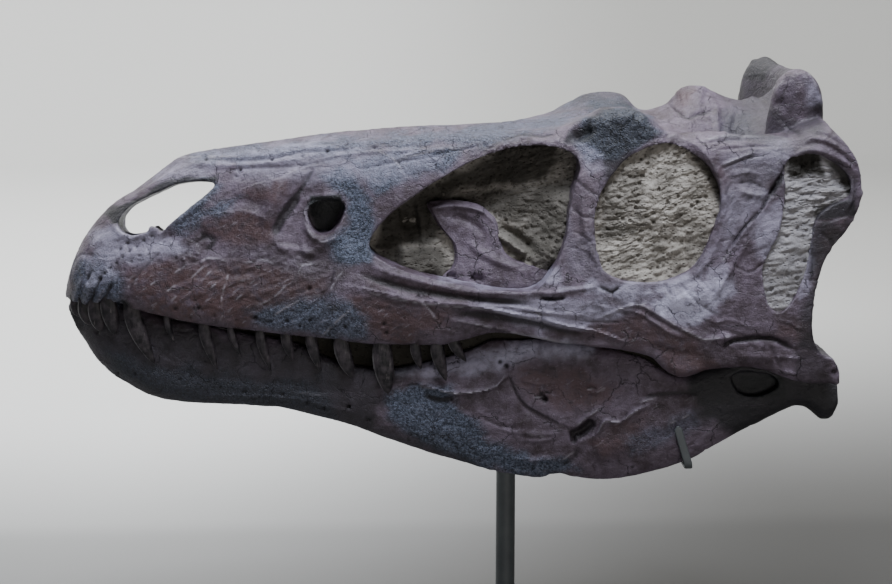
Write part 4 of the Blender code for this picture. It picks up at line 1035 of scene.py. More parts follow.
def fill_cuts(mesh):
    """Give the new points on a cut the mean of the masks of the old points beside them."""
    ends = ends_of(mesh)
    known = (read_mask(mesh, "known") > 0.5).astype(float)
    for key in MASKS[:-1]:
        values = read_mask(mesh, key)
        write_mask(mesh, key, np.where(known > 0, values, average(ends, values, known)))


# %% Sculpting: marks, swells and grain move each point along its normal
FOSSA_PLACE, FOSSA_LONG, FOSSA_DEEP = 152.0, 25.0, 21.0
NARROW, VEIN_WIDTH, VEIN_HEIGHT = 3.5, 0.6, 0.3


def sink_fossae(points, normals):
    """Depth of the muscle pits of the roof: a long inner slope and a steep outer wall."""
    reach = np.abs(points[:, 1])
    across = ramp(reach, 14, 60) * (1 - ramp(reach, 62, 74))
    return (FOSSA_DEEP * bell(points[:, 0] - FOSSA_PLACE, FOSSA_LONG) * across
            * ramp(points[:, 2], 396, 408) * ramp(normals[:, 2], 0.1, 0.4))


def fibres(place, angle, seed):
    """Noise drawn out four to one along a direction in the picture plane."""
    turn = math.radians(angle)
    drawn = np.stack([place @ (math.cos(turn), math.sin(turn)) / 4,
                      place @ (-math.sin(turn), math.cos(turn)), 0 * place[:, 0]], axis=1)
    return noise(drawn, 3.4, seed) + 0.5 * noise(drawn, 1.7, seed + 1)


def far_painted_shade(points):
    """Painted shade on the crest's front and right wing, and on the right horn."""
    x, y, z = points.T
    wing = 0.88 * ramp(y, 12, 30) * ramp(z, 437, 446) * ramp(x, 150, 170)
    horn = 0.5 * ramp(y, 22, 36) * ramp(z, 423, 429) * ramp(x, 30, 50) * ramp(x, 125, 110)
    front = 0.6 * ramp(x, 150, 176) * ramp(z, 408, 420) * ramp(y, -56, -40)
    return np.maximum(np.maximum(wing, front), horn)


def lean_right_horn(points):
    """The right horn is worn unevenly: its crest lies further back and its rear is steep."""
    x, y, z = points.T
    return 7 * bell(x - 84, 13) * ramp(y, 20, 36) * ramp(z, 417, 426)


def add_texture(rise, points, place):
    """Add swells, long wrinkles and creases, then the rough and the combed fields."""
    rise += 0.7 * layered(points, 26, 3, seed=5)
    rise += 0.55 * layered(points * (0.45, 1, 1), 7, 4, seed=9, keep=0.75)
    crease = ramp(0.11 - np.abs(noise(points * (0.6, 1, 1), 11, seed=12)), 0, 0.11)
    rise -= 0.5 * crease * ramp(noise(points, 30, seed=13), -0.1, 0.5)
    rise += (0.9 * layered(points, 3.4, 2, seed=15, keep=0.7)
             * patch_mask(points, place, RUGGED_PATCHES, 105))
    for number, (angle, patch) in enumerate(COMBED_PATCHES):
        field = patch_mask(points, place, (patch,), 107)
        spot = np.flatnonzero(field > 0)
        rise[spot] += 0.48 * field[spot] * fibres(place[spot], angle, 120 + 2 * number)


def vein_mask(points, place, veins):
    """Thin lines, broken up by noise so that none runs evenly."""
    vein = np.zeros(len(points))
    for line in veins:
        draw_mark(place, vein, "line", 1.0, VEIN_WIDTH, line)
    return np.clip(vein, 0, 1) * ramp(noise(points, 3.0, seed=17), -0.55, 0.05)


def write_stains_and_painted_light(mesh, points, place, dark):
    """Masks of the colour patches, which share the places of the marks: blue and red stains, a
    painted highlight and painted shade.
    """
    for key, patches, seed in (("blue", BLUE_PATCHES, 101), ("red", RED_PATCHES, 103),
                               ("pale", PAINTED_HIGHLIGHT_PATCHES, 109)):
        write_mask(mesh, key, patch_mask(points, place, patches, seed))
    write_mask(mesh, "dark", np.maximum(patch_mask(points, place, dark, 111),
                                        far_painted_shade(points)))


def carve(thing, marks, veins, outer, dark):
    """Move the points along their normals, then note the masks that the colours follow."""
    mesh = thing.data
    points, normals = points_of(mesh), normals_of(mesh)
    points[:, 0] += lean_right_horn(points)
    place = in_frame(left_side(points))
    narrow = [mark for mark in marks if mark[2] < NARROW]
    thin = relief(points, normals, narrow, outer)
    rise = relief(points, normals, marks, outer)
    points[:, 2] -= sink_fossae(points, normals)
    add_texture(rise, points, place)
    vein = vein_mask(points, place, veins)
    rise += VEIN_HEIGHT * vein
    move_points(mesh, points + rise[:, None] * normals)
    mesh.update()
    turn = bend(mesh)
    write_stains_and_painted_light(mesh, points, place, dark)
    write_mask(mesh, "vein", vein)
    write_mask(mesh, "known", np.ones(len(points)))
    # worn lightens ridges, for wear and a painted highlight; deep darkens hollows and cut grooves
    # as painted shade
    write_mask(mesh, "worn", ramp(turn, 0.06, 0.28))
    write_mask(mesh, "deep", np.maximum(ramp(-turn, 0.08, 0.34), ramp(-thin, 0.4, 1.6)))


carve(skull, SKULL_MARKS, SKULL_VEINS, side_y, PAINTED_SHADE_PATCHES)
print("carved skull", round(time.time() - started, 1), "s")

# %% [markdown]
# ## Lower jaw
# Each half of the lower jaw is a tall curved plate. One side is made and carved, and
# the other is its mirror image.

# %% Skin of the left half of the lower jaw
JAW_STATIONS = 240
JAW_FRONT, JAW_LENGTH = -325.0, 554.0


def jaw_rings(x):
    """Plate with a rounded top, a full outer face and a rounded lower edge."""
    outer = jaw_y(x)
    inner = np.maximum(0.12, outer - jaw_thickness(x))
    low, top = jaw_low_z(x), jaw_top_z(x)
    height, middle, thick = top - low, (outer + inner) / 2, outer - inner
    across = (middle, outer - 0.14 * thick, outer, outer, outer - 0.2 * thick, middle, inner,
              inner)
    up = (top, top - 0.10 * height, top - 0.38 * height, low + 0.30 * height,
          low + 0.08 * height, low, low + 0.10 * height, top - 0.12 * height)
    corners = np.stack([-np.stack(across, 1), np.stack(up, 1)], -1)
    return stand_at(x, smooth_curve(corners, SECTION_STEPS, closed=True))


jaw_stations = JAW_FRONT + JAW_LENGTH * np.linspace(0, 1, JAW_STATIONS) ** 1.12
jaw = put("jaw", *skin(jaw_rings(jaw_stations)))
window = prism("jaw_window", smooth_curve(JAW_WINDOW, 5, closed=True), -WELL_OUT, -86)
combine(jaw, "DIFFERENCE", window)
discard(window)
weather(jaw, VOXEL, 4)
carve(jaw, JAW_MARKS, JAW_VEINS, jaw_y, JAW_PAINTED_SHADE_PATCHES)
print("carved jaw:", len(jaw.data.vertices), "points")

# %% [markdown]
# ## Seams
# The bones of a skull meet along sutures. The carved form is parted along them, so that
# every bone is a closed piece of its own and stands for its solid. A seam that runs out
# of the form ends ahead of it, behind it, over it or under it.

# %% Seams of the left side, as corners in X and Z
AHEAD, BEHIND, OVER, UNDER = -350, 260, 470, 150
NARIS_MIDDLE, ANTORBITAL_MIDDLE, ORBIT_MIDDLE = (-250, 360), (-30, 352), (98, 361)
TEMPORAL_LOW, TEMPORAL_MIDDLE, TEMPORAL_HIGH = (186, 300), (190, 350), (200, 382)
PREMAXILLA_MAXILLA = ((-284, 250), (-283, 292), (-270, 325), NARIS_MIDDLE)
NASAL_PREMAXILLA = (NARIS_MIDDLE, (-266, 373), (-276, 420))
NASAL_MAXILLA = (NARIS_MIDDLE, (-213, 378), (-206, 389), (-152, 397), (-109, 402), (-62, 403))
NASAL_LACRIMAL = ((-62, 403), (-25, 406), (2, 411), (12, 412))
MAXILLA_LACRIMAL = ((-62, 403), (-54, 388), ANTORBITAL_MIDDLE)
MAXILLA_JUGAL = (ANTORBITAL_MIDDLE, (-76, 316), (-30, 296), (18, 268), (18, 240))
LACRIMAL_JUGAL = (ANTORBITAL_MIDDLE, (30, 314), (62, 319), ORBIT_MIDDLE)
LACRIMAL_POSTORBITAL = (ORBIT_MIDDLE, (104, 398), (108, 412), (108, OVER))
POSTORBITAL_JUGAL = (ORBIT_MIDDLE, (131, 322), (146, 334), (160, 352), (176, 374), TEMPORAL_HIGH)
POSTORBITAL_SQUAMOSAL = (TEMPORAL_HIGH, (196, 402), (190, 412), (190, OVER))
SQUAMOSAL_QUADRATOJUGAL = (TEMPORAL_MIDDLE, (214, 350), (BEHIND, 356))
JUGAL_QUADRATOJUGAL = (TEMPORAL_LOW, (168, 284), (165, 272), (145, 270), (144, 262), (152, 230))
DENTARY_SURANGULAR = ((-24, 275), (-22, 256), (-11, 244), (32, 227), (52, 219))
DENTARY_ANGULAR = ((52, 219), (43, 197), (34, UNDER))
ANGULAR_SURANGULAR = ((52, 219), (88, 222), (130, 222), (176, 224), (192, 205))
ROOF_PLAN = ((12, 41), (40, 40), (70, 37), (92, 42), (106, 54), (122, 66), (186, 68), (206, 74))


def outline(*runs):
    """Corners of seams and of loose points in one round, each corner once."""
    corners = []
    for run in runs:
        for corner in ([run] if np.ndim(run) == 1 else run):
            if not corners or tuple(corner) != corners[-1]:
                corners.append(tuple(corner))
    return corners[:-1] if corners[0] == corners[-1] else corners


def back(seam):
    """The same seam run the other way."""
    return seam[::-1]


BONES = {
    "premaxilla": outline((AHEAD, 250), PREMAXILLA_MAXILLA, NASAL_PREMAXILLA, (AHEAD, 420)),
    "maxilla": outline(PREMAXILLA_MAXILLA, NASAL_MAXILLA, MAXILLA_LACRIMAL, MAXILLA_JUGAL,
                       (18, 225), (-284, 225)),
    "lacrimal": outline(back(MAXILLA_LACRIMAL), NASAL_LACRIMAL, (12, OVER),
                        back(LACRIMAL_POSTORBITAL), back(LACRIMAL_JUGAL)),
    "jugal": outline(back(MAXILLA_JUGAL), LACRIMAL_JUGAL, POSTORBITAL_JUGAL, TEMPORAL_MIDDLE,
                     JUGAL_QUADRATOJUGAL, (18, 225)),
    "postorbital": outline(LACRIMAL_POSTORBITAL, back(POSTORBITAL_SQUAMOSAL),
                           back(POSTORBITAL_JUGAL)),
    "squamosal": outline(POSTORBITAL_SQUAMOSAL, (BEHIND, OVER),
                         back(SQUAMOSAL_QUADRATOJUGAL)),
    "quadratojugal": outline(SQUAMOSAL_QUADRATOJUGAL, (BEHIND, 230),
                             back(JUGAL_QUADRATOJUGAL)),
}
JAW_BONES = {
    "dentary": outline((AHEAD, UNDER), (AHEAD, 300), (-24, 300), DENTARY_SURANGULAR,
                       DENTARY_ANGULAR),
    "surangular": outline(back(DENTARY_SURANGULAR), (-24, 300), (BEHIND, 300), (BEHIND, 205),
                          back(ANGULAR_SURANGULAR)),
    "angular": outline(back(DENTARY_ANGULAR), ANGULAR_SURANGULAR, (192, UNDER)),
}
ROOF_NEIGHBOURS = ("lacrimal", "postorbital", "squamosal")

# %% Part the forms into bones
SHARP_ANGLE, ROOF_LOW, ROOF_HIGH = math.radians(62), 330, 480
made = {}


def dress(piece, node):
    """Let a piece ride the body, stand for its node, and be known by its name."""
    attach(piece, "root")
    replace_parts(piece, node)
    made[piece.name] = piece
    return piece


def linked_copy(thing):
    """Copy of an object with a mesh of its own."""
    twin = thing.copy()
    twin.data = thing.data.copy()
    bpy.context.scene.collection.objects.link(twin)
    return twin


def part(form, name, corners, start, end, less=None):
    """Copy of a form kept only inside an outline, with crisp edges where it was parted."""
    piece = linked_copy(form)
    region = prism("region", corners, start, end)
    combine(piece, "INTERSECT", region)
    if less:
        combine(piece, "DIFFERENCE", less)
    discard(region)
    piece.name = name
    piece.data.name = name
    return piece


def finish_bone(piece, node):
    """Smooth shading with crisp seams, and the slot that the bone's node has."""
    if "known" in piece.data.attributes:
        fill_cuts(piece.data)
    piece.data.shade_smooth()
    piece.data.set_sharp_from_angle(angle=SHARP_ANGLE)
    return dress(piece, node)


plan = [*ROOF_PLAN, *((x, -y) for x, y in reversed(ROOF_PLAN))]
roof_region = block("roof_region", [np.array([(x, y, z) for x, y in plan])
                                    for z in (ROOF_LOW, ROOF_HIGH)])
for side, label in ((-1, "left"), (1, "right")):
    for bone, corners in BONES.items():
        piece = part(skull, f"{bone}_{label}_bone", corners, side * WELL_OUT, 0,
                     roof_region if bone in ROOF_NEIGHBOURS else None)
        finish_bone(piece, f"{bone}_{label}")
nasal_corners = outline(back(NASAL_PREMAXILLA), NASAL_MAXILLA, NASAL_LACRIMAL, (12, OVER),
                        (-276, OVER))
finish_bone(part(skull, "nasals_bone", nasal_corners, -80, 80), "nasals")
combine(skull, "INTERSECT", roof_region)
skull.name = "skull_roof_bone"
finish_bone(skull, "skull_roof")
discard(roof_region)
for bone, corners in JAW_BONES.items():
    finish_bone(part(jaw, f"{bone}_left_bone", corners, -WELL_OUT, 5), f"{bone}_left")
discard(jaw)


def mirror_piece(piece, name, node):
    """Copy of a piece with Y turned round and its faces turned back outwards."""
    twin = linked_copy(piece)
    move_points(twin.data, points_of(piece.data) * (1, -1, 1))
    twin.data.flip_normals()
    twin.data.update()
    twin.name = name
    twin.data.name = name
    del twin["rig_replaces"]
    made[name] = twin
    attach(twin, "root")
    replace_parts(twin, node)
    return twin


for bone in JAW_BONES:
    mirror_piece(made[f"{bone}_left_bone"], f"{bone}_right_bone", f"{bone}_right")
print({name: len(piece.data.polygons) for name, piece in made.items()})
print("bones parted", round(time.time() - started, 1), "s")

# %% [markdown]
# ## Rock in the windows
# The windows of the skull still hold the rock of its grave. Each fill is a closed slab:
# rings spread from the middle of the window to just behind its rim, where the slab turns
# back inwards. Its face lies a little under the bone and is lumpy, torn and pitted.


# %% Rock faces behind the windows
def outer_at(x, z):
    """Half-width of the skin at (x, z), read off the section between its edge and margin."""
    ring = skull_rings(x)[:, 2 * SECTION_STEPS:6 * SECTION_STEPS + 1, 1:]
    above = np.sum(ring[..., 1] > z[:, None], axis=1)
    i = np.clip(above, 1, ring.shape[1] - 1)
    row = np.arange(len(x))
    y0, z0 = ring[row, i - 1].T
    y1, z1 = ring[row, i].T
    share = np.clip((z - z0) / np.where(np.abs(z1 - z0) < 1e-6, 1e-6, z1 - z0), 0, 1)
    return y0 + share * (y1 - y0)


def window_rings(outline, steps, around, swell, middle=None):
    """Flat rings of (x, z) from the middle to past the rim, and the share of the way out."""
    outline = np.asarray(outline, float)
    ends = np.linspace(0, len(outline), around, endpoint=False)
    closed = np.vstack([outline, outline[:1]])
    rim = np.stack([np.interp(ends, np.arange(len(closed)), closed[:, k]) for k in (0, 1)], 1)
    middle = outline.mean(0) if middle is None else middle
    out = np.linspace(0.02, 1.0, steps)
    reach = middle + (rim - middle) * (1 + swell / np.linalg.norm(rim - middle, axis=1))[:, None]
    flat = middle + out[:, None, None] * (reach - middle)
    return flat, out


# recess of the rock, lumps on it, and its dark places of painted shade, in the picture plane
ROCK_FACES = {
    "orbit": (4.5, (("lump", -5.0, 7, (694, 146), (710, 160), (721, 184), (723, 206)),
                    ("lump", 3.0, 18, (640, 200), (680, 215)),
                    ("lump", -2.0, 6, (602, 200), (600, 250))),
              ((0.75, 3, (684, 140), (700, 148), (718, 168), (727, 196), (722, 212), (712, 186),
                (700, 166)),
               (0.55, 3, (598, 226), (620, 222), (636, 230), (620, 240), (600, 240)),
               (0.35, 4, (686, 226), (712, 224), (706, 262), (688, 262)),
               (0.35, 8, (596, 176), (640, 170), (640, 220), (596, 226)))),
    "temporal": (3.0, (("lump", -5.0, 6, (800, 163), (815, 163)),
                       ("lump", -4.0, 5, (836, 172), (850, 188)),
                       ("lump", 2.0, 10, (800, 230), (795, 290))),
                 ((1.0, 3, (786, 150), (820, 150), (824, 176), (790, 176)),
                  (0.9, 3, (822, 158), (838, 160), (858, 178), (858, 200), (846, 196), (840, 178)),
                  (0.9, 3, (812, 210), (846, 200), (850, 208), (816, 218)))),
    "antorbital": (25.0, (("lump", -10.0, 20, (430, 205), (480, 185), (520, 165)),
                          ("lump", 8.0, 15, (395, 262), (425, 262), (440, 255)),
                          ("lump", 14.0, 16, (560, 185), (560, 230), (548, 268)),
                          ("lump", 4.0, 8, (520, 262), (550, 268)),
                          ("lump", -8.0, 12, (400, 225), (420, 222)),
                          ("lump", 7.0, 2.4, (492, 231), (510, 242), (527, 254)),
                          ("lump", -5.0, 3.0, (500, 226), (520, 238), (534, 250))),
                   ((0.9, 5, (372, 246), (385, 215), (430, 185), (470, 168), (520, 134),
                     (558, 138), (556, 160), (545, 178), (500, 186), (462, 188), (440, 200),
                     (434, 216), (444, 240), (430, 246), (400, 246), (380, 252)),
                    (0.9, 3, (498, 152), (530, 134), (560, 140), (552, 166), (540, 182),
                     (510, 184)),
                    (0.72, 5, (440, 200), (500, 186), (540, 200), (520, 226), (490, 214)),
                    (0.6, 3, (490, 222), (520, 226), (536, 246), (520, 262), (494, 240)),
                    (0.85, 8, (376, 246), (440, 246), (452, 270), (446, 300), (372, 270)),
                    (0.72, 10, (524, 186), (590, 180), (590, 280), (524, 280)))),
}


def ropes(points, drawn, angle=15):
    """Folded lumps, drawn out along a slant: the size of a noise, whichever its sign."""
    turn = math.radians(angle)
    spun = np.stack([(points[:, 0] * math.cos(turn) + points[:, 2] * math.sin(turn)) / drawn,
                     points[:, 1],
                     points[:, 2] * math.cos(turn) - points[:, 0] * math.sin(turn)], axis=1)
    return (1.9 * np.abs(noise(spun, 5.6, 33)) + 1.3 * np.abs(noise(spun, 2.9, 35))
            + 0.7 * np.abs(noise(spun, 1.4, 37)))


def rock_slab(key, thick=9.0, steps=76, around=440):
    """Front rings lie at the recess and the lumps, back rings straight behind them."""
    recess, lumps, _ = ROCK_FACES[key]
    flat, out = window_rings(windows[key], steps, around, 3.0,
                             (197, 371) if key == "temporal" else None)
    x, z = flat[..., 0].ravel(), flat[..., 1].ravel()
    face = -(outer_at(x, z) - recess)
    points = np.stack([x, face, z], axis=1)
    rise = draw_marks(in_frame(points), lumps)
    swell = 1.6 * layered(points * (0.7, 1, 1), 14, 2, seed=31, keep=0.6)
    holes = -1.6 * ramp(nearest_seed(points, 7.0, seed=41), 0.30, 0.10)
    folds = ropes(points, 3.2, 8) if key == "temporal" else ropes(points, 1.8)
    points[:, 1] -= rise + swell + holes + folds - 1.3
    front = points.reshape(flat.shape[0], around, 3)
    rear = front[-1:] + (0, thick, 0)
    floor = front[:1] + (0, thick, 0)
    return np.concatenate([front, rear, floor])


def shade_rock(piece, patches):
    """Painted shade in the folds and in the dark places, and a painted highlight on the crests."""
    mesh = piece.data
    points, turn = points_of(mesh), bend(mesh)
    dark = patch_mask(points, in_frame(points), patches, 113) if patches else 0 * turn
    write_mask(mesh, "deep", dark)
    write_mask(mesh, "fold", ramp(-turn, 0.04, 0.40))
    write_mask(mesh, "worn", ramp(turn, 0.05, 0.35))


for key in ROCK_FACES:
    slab = dress(put(f"rock_{key}_left", *skin(rock_slab(key))), "rock_matrix")
    shade_rock(slab, ROCK_FACES[key][2])
    write_mask(slab.data, "blue", np.full(len(slab.data.vertices), float(key == "temporal")))
    mirror_piece(slab, f"rock_{key}_right", "rock_matrix")
print("rock faces", round(time.time() - started, 1), "s")

# %% Rock between the jaws and behind the braincase
def mouth_rings(x):
    """Section between the lower jaws: flat sides, a lumpy floor and a roof in the palate."""
    inner = np.maximum(jaw_y(x) - jaw_thickness(x) + 1.0, 3)
    low, top = jaw_low_z(x) + 24, margin_z(x) + 13
    middle = (low + top) / 2
    across = (0 * x, 0.7 * inner, inner, inner, inner, 0.7 * inner, 0 * x)
    up = (top, top, top - 10, middle, low + 5, low + 1, low)
    half = smooth_curve(np.stack([np.stack(across, 1), np.stack(up, 1)], -1), 14, closed=False)
    return stand_at(x, np.concatenate([half, half[:, -2:0:-1] * (-1, 1)], axis=1))


points, faces = skin(mouth_rings(np.linspace(-203, 188, 220)))
points[:, 2] += 2.2 * layered(points, 16, 4, seed=51, keep=0.6)
mouth = dress(put("rock_mouth", points, faces), "rock_matrix")
# Painted shade: the rock between the jaws is dark all over.
write_mask(mouth.data, "deep", np.ones(len(mouth.data.vertices)))

REAR_LOW, REAR_HIGH, REAR_STEPS, REAR_DEEP = 262.0, 408.0, 150, 6.0
across, up = np.meshgrid(np.linspace(-1, 1, REAR_STEPS),
                         np.linspace(REAR_LOW, REAR_HIGH, REAR_STEPS))
wide = hollow_width(up) - 0.5
face = np.stack([np.full(across.shape, OCCIPUT_PLACE + 0.3), across * wide, up], -1)
points = face.reshape(-1, 3)
points[:, 0] += 3.0 * np.abs(layered(points, 12, 4, seed=61, keep=0.6))
rows = points.reshape(REAR_STEPS, REAR_STEPS, 3)
folded = np.concatenate([rows, rows[:, ::-1] - (REAR_DEEP, 0, 0)], axis=1)
dress(put("rock_rear", *skin(folded)), "rock_matrix")

# %% [markdown]
# ## Braincase wall, quadrates and palatines
# Behind the rock stands the wall of the braincase with the ball that met the neck. The
# quadrates are the columns that carried the lower jaw, and the palatines show as twisted
# straps across the rock of the big window.

# %% Occiput
OCCIPUT_HALF = ((0, 404), (46, 404), (74, 398), (76, 376), (62, 366), (38, 372), (26, 352),
                (24, 322), (15, 300), (0, 294))
half = smooth_curve(OCCIPUT_HALF, 8, closed=False)
ring = np.concatenate([half, half[-2:0:-1] * (-1, 1)])
layers = [(OCCIPUT_PLACE + 0.4, 1.0), (OCCIPUT_PLACE + 9, 1.0), (OCCIPUT_PLACE + 12.5, 0.95),
          (OCCIPUT_PLACE + 14, 0.88)]
rings = np.stack([np.stack([np.full(len(ring), x), ring[:, 0], 352 + (ring[:, 1] - 352) * size],
                           axis=1) for x, size in layers])
occiput = put("occiput_bone", *skin(rings))
condyle = ball("condyle", (OCCIPUT_PLACE + 17, 0, 350), (13, 13, 13))
canal = ball("canal", (OCCIPUT_PLACE + 16, 0, 374), (11, 9, 9))
combine(occiput, "UNION", condyle)
combine(occiput, "DIFFERENCE", canal)
discard(condyle, canal)
weather(occiput, VOXEL, 4)
points, normals = points_of(occiput.data), normals_of(occiput.data)
swell = 1.2 * layered(points, 18, 4, seed=71) * ramp(points[:, 0], OCCIPUT_PLACE + 2,
                                                     OCCIPUT_PLACE + 8)
swell = np.minimum(swell, 0.4)
move_points(occiput.data, points + swell[:, None] * normals)
finish_bone(occiput, "occiput")

# %% Quadrates and palatines
QUADRATE_ROWS = ((249, 213, 12, 83, 11), (254, 213, 12, 82, 10), (262, 208, 10, 76, 9),
                 (274, 202, 8, 69.5, 7.5), (320, 200, 8, 69, 8), (362, 200, 7, 69, 7))


def column_rings(rows, steps, around):
    """Round sections whose place and size run smoothly up the column."""
    z, x, wide, y, deep = smooth_curve(rows, steps, closed=False).T[:, :, None]
    a = np.arange(around)[None] * math.tau / around
    return np.stack([x + wide * np.cos(a), -(y + deep * np.sin(a)), z + 0 * a], axis=-1)


points, faces = skin(column_rings(QUADRATE_ROWS, 14, 72))
points[:-2] += 0.35 * layered(points[:-2], 9, 3, seed=81)[:, None]
column = put("quadrate_left_bone", points, faces)
finish_bone(column, "quadrate_left")
mirror_piece(column, "quadrate_right_bone", "quadrate_right")

PALATINE_EDGE = ((428, 208), (436, 204.5), (454, 203), (478, 206), (490, 214), (497, 222),
                 (500, 240), (507, 254), (525, 261), (545, 266), (566, 272), (558, 282),
                 (540, 289), (515, 291), (492, 289), (461, 286), (440, 280), (452, 268),
                 (455, 256), (452, 243), (440, 229), (433, 218))
PALATINE_MIDDLE, PALATINE_DEPTH, PALATINE_PLANE = (482, 254), 18.0, -46.0
PALATINE_MARKS = (("line", 2.2, 2.0, (430, 208), (454, 205), (478, 209), (491, 217)),
                  ("line", -1.6, 3.0, (440, 214), (470, 222), (486, 236)),
                  ("line", 1.6, 3.0, (466, 240), (486, 256), (520, 270)),
                  ("line", -4.0, 3.0, (470, 279), (484, 280)),
                  ("line", -3.0, 2.4, (446, 276), (456, 277)))


def palatine_rings(steps=60, around=260, thick=4.0):
    """Thin sheet over the rock: rings spread from its middle and fold back at its rim."""
    edge = on_plane(smooth_curve(PALATINE_EDGE, 6, closed=True), PALATINE_PLANE)
    middle = on_plane([PALATINE_MIDDLE], PALATINE_PLANE)[0]
    flat, out = window_rings(edge, steps, around, 0.0, middle)
    x, z = flat[..., 0].ravel(), flat[..., 1].ravel()
    points = np.stack([x, -(outer_at(x, z) - PALATINE_DEPTH), z], axis=1)
    rise = 0.8 * layered(points, 12, 3, seed=83, keep=0.6)
    place = in_frame(points)
    for kind, height, width, *line in PALATINE_MARKS:
        draw_mark(place, rise, kind, height, width, line)
    fold = ramp(np.repeat(out, around), 0.86, 1.0) ** 2
    points[:, 1] -= rise - 2.6 * fold
    front = points.reshape(steps, around, 3)
    return np.concatenate([front, front[-1:] + (0, thick, 0), front[:1] + (0, thick + 2, 0)])


strap = put("palatine_left_bone", *skin(palatine_rings()))
# Painted shade in the hollows of the strap, and a painted highlight on its ridges.
write_mask(strap.data, "deep", ramp(-bend(strap.data), 0.05, 0.3))
write_mask(strap.data, "worn", ramp(bend(strap.data), 0.05, 0.3))
finish_bone(strap, "palatine_left")
mirror_piece(strap, "palatine_right_bone", "palatine_right")

# %% [markdown]
# ## Teeth
# Meat-eaters' teeth are curved, flattened cones. Each tooth is a run of oval rings that
# shrink towards the tip and lean back more and more, and a row of them is one piece.

# %% Upper teeth: place of the root, lean of the tip, length below the bone, width, bluntness
PREMAXILLARY_TEETH = ((-319, 2, 12, 9, 4), (-311.5, 3, 17, 11, 4), (-303, 3, 22, 12, 4),
                      (-293, 4, 27, 13, 3))
MAXILLARY_TEETH = ((-275.6, 15.4, 42.5, 14.3, 2.4), (-250.1, 5, 19.7, 5.7, 1.7),
                   (-223.1, 9.4, 34.9, 10, 1.8), (-203.6, 7.2, 23.1, 6.4, 1.7),
                   (-182.6, 7.5, 30.1, 8.6, 1.8), (-163.8, 4.8, 20.5, 9.3, 1.9),
                   (-145.7, 6.9, 26.2, 10, 1.8), (-124, 7.7, 28.6, 12.9, 3.2),
                   (-94.6, 4.1, 37.4, 15.7, 3.2), (-70.9, 4.3, 18.6, 8.6, 1.9),
                   (-55.2, 6.5, 27.4, 11.4, 1.9), (-43.1, 8.7, 15, 10, 1.8))
TOOTH_THICKNESS, TOOTH_ROOT = 6.0, 5.0


def tooth(x, lean, length, width, blunt, steps=34, around=36):
    """Oval rings from root to tip: size falls as (1 - s^blunt)^0.7, lean grows as s^1.6."""
    s = np.linspace(-TOOTH_ROOT / length, 0.992, steps)[:, None]
    a = np.arange(around)[None] * math.tau / around
    down = np.clip(s, 0, 1)
    size = (1 - down**blunt) ** 0.7 * (0.84 + 0.16 * np.sin(math.pi * np.clip(down, 0, 0.5)))
    edge = np.sign(np.cos(a)) * np.abs(np.cos(a)) ** 0.8
    y = margin_y(np.float64(x)) - 1.2 - TOOTH_THICKNESS / 2
    rings = np.stack([x + lean * down**1.6 + size * width / 2 * edge,
                      -(y + size * TOOTH_THICKNESS / 2 * np.sin(a)),
                      margin_z(np.float64(x)) - s * length + 0 * a], axis=-1)
    flutes = 0.12 * noise((rings * (1, 1, 0.1)).reshape(-1, 3), 1.8, 91).reshape(size.shape[0], -1)
    rings[..., 1] -= flutes * np.sin(a)
    return rings


def front_edge_highlight(steps=34, around=36):
    """Share of painted highlight: 1 along the front cutting edge, fading at root and tip."""
    s = np.linspace(0, 1, steps)[:, None]
    a = np.arange(around)[None] * math.tau / around
    painted_highlight = ramp(-np.cos(a), 0.80, 1.0) * ramp(s, 0.15, 0.45) * (1 - ramp(s, 0.9, 1.0))
    return np.append(painted_highlight.ravel(), (0.0, 0.0))


def tooth_row(name, teeth, node):
    """All the teeth of a bone as one mesh."""
    parts, faces, edges, count = [], [], [], 0
    for sizes in teeth:
        points, triangles = skin(tooth(*sizes))
        parts.append(points)
        edges.append(front_edge_highlight())
        faces.append(outward(points, triangles) + count)
        count += len(points)
    row = put(name, np.concatenate(parts), np.concatenate(faces))
    write_mask(row.data, "edge", np.concatenate(edges))
    return finish_bone(row, node)


for bone, teeth in (("premaxilla", PREMAXILLARY_TEETH), ("maxilla", MAXILLARY_TEETH)):
    row = tooth_row(f"{bone}_left_teeth", teeth, f"{bone}_left")
    mirror_piece(row, f"{bone}_right_teeth", f"{bone}_right")

# %% [markdown]
# ## Stand
# One round steel post comes up from a heavy plate, and two flat clips hold the jaw. The
# plate and the collar keep their solids; the post and clips are drawn again more finely.

# %% Post and clips
POST_RADIUS, POST_LOW, POST_HIGH, POST_EDGE = 7.25, 12.3, 199.5, 0.6


def post_rings():
    """Circles up the post, smaller by the chamfer at both ends."""
    z = np.array([POST_LOW, POST_LOW + POST_EDGE, POST_LOW + 2 * POST_EDGE,
                  *np.linspace(POST_LOW + 3, POST_HIGH - 3, 40), POST_HIGH - 2 * POST_EDGE,
                  POST_HIGH - POST_EDGE, POST_HIGH])
    r = np.full(len(z), POST_RADIUS)
    r[[0, -1]] -= POST_EDGE
    r[[1, -2]] -= 0.3 * POST_EDGE
    a = np.arange(96)[None] * math.tau / 96
    return np.stack([r[:, None] * np.cos(a), r[:, None] * np.sin(a), z[:, None] + 0 * a], -1)


post = put("stand_post_bar", *skin(post_rings()))
CLIP_PLACE, CLIP_WIDTH, CLIP_THICKNESS, CLIP_CLEARANCE = 123.8, 5.8, 2.6, 3.2


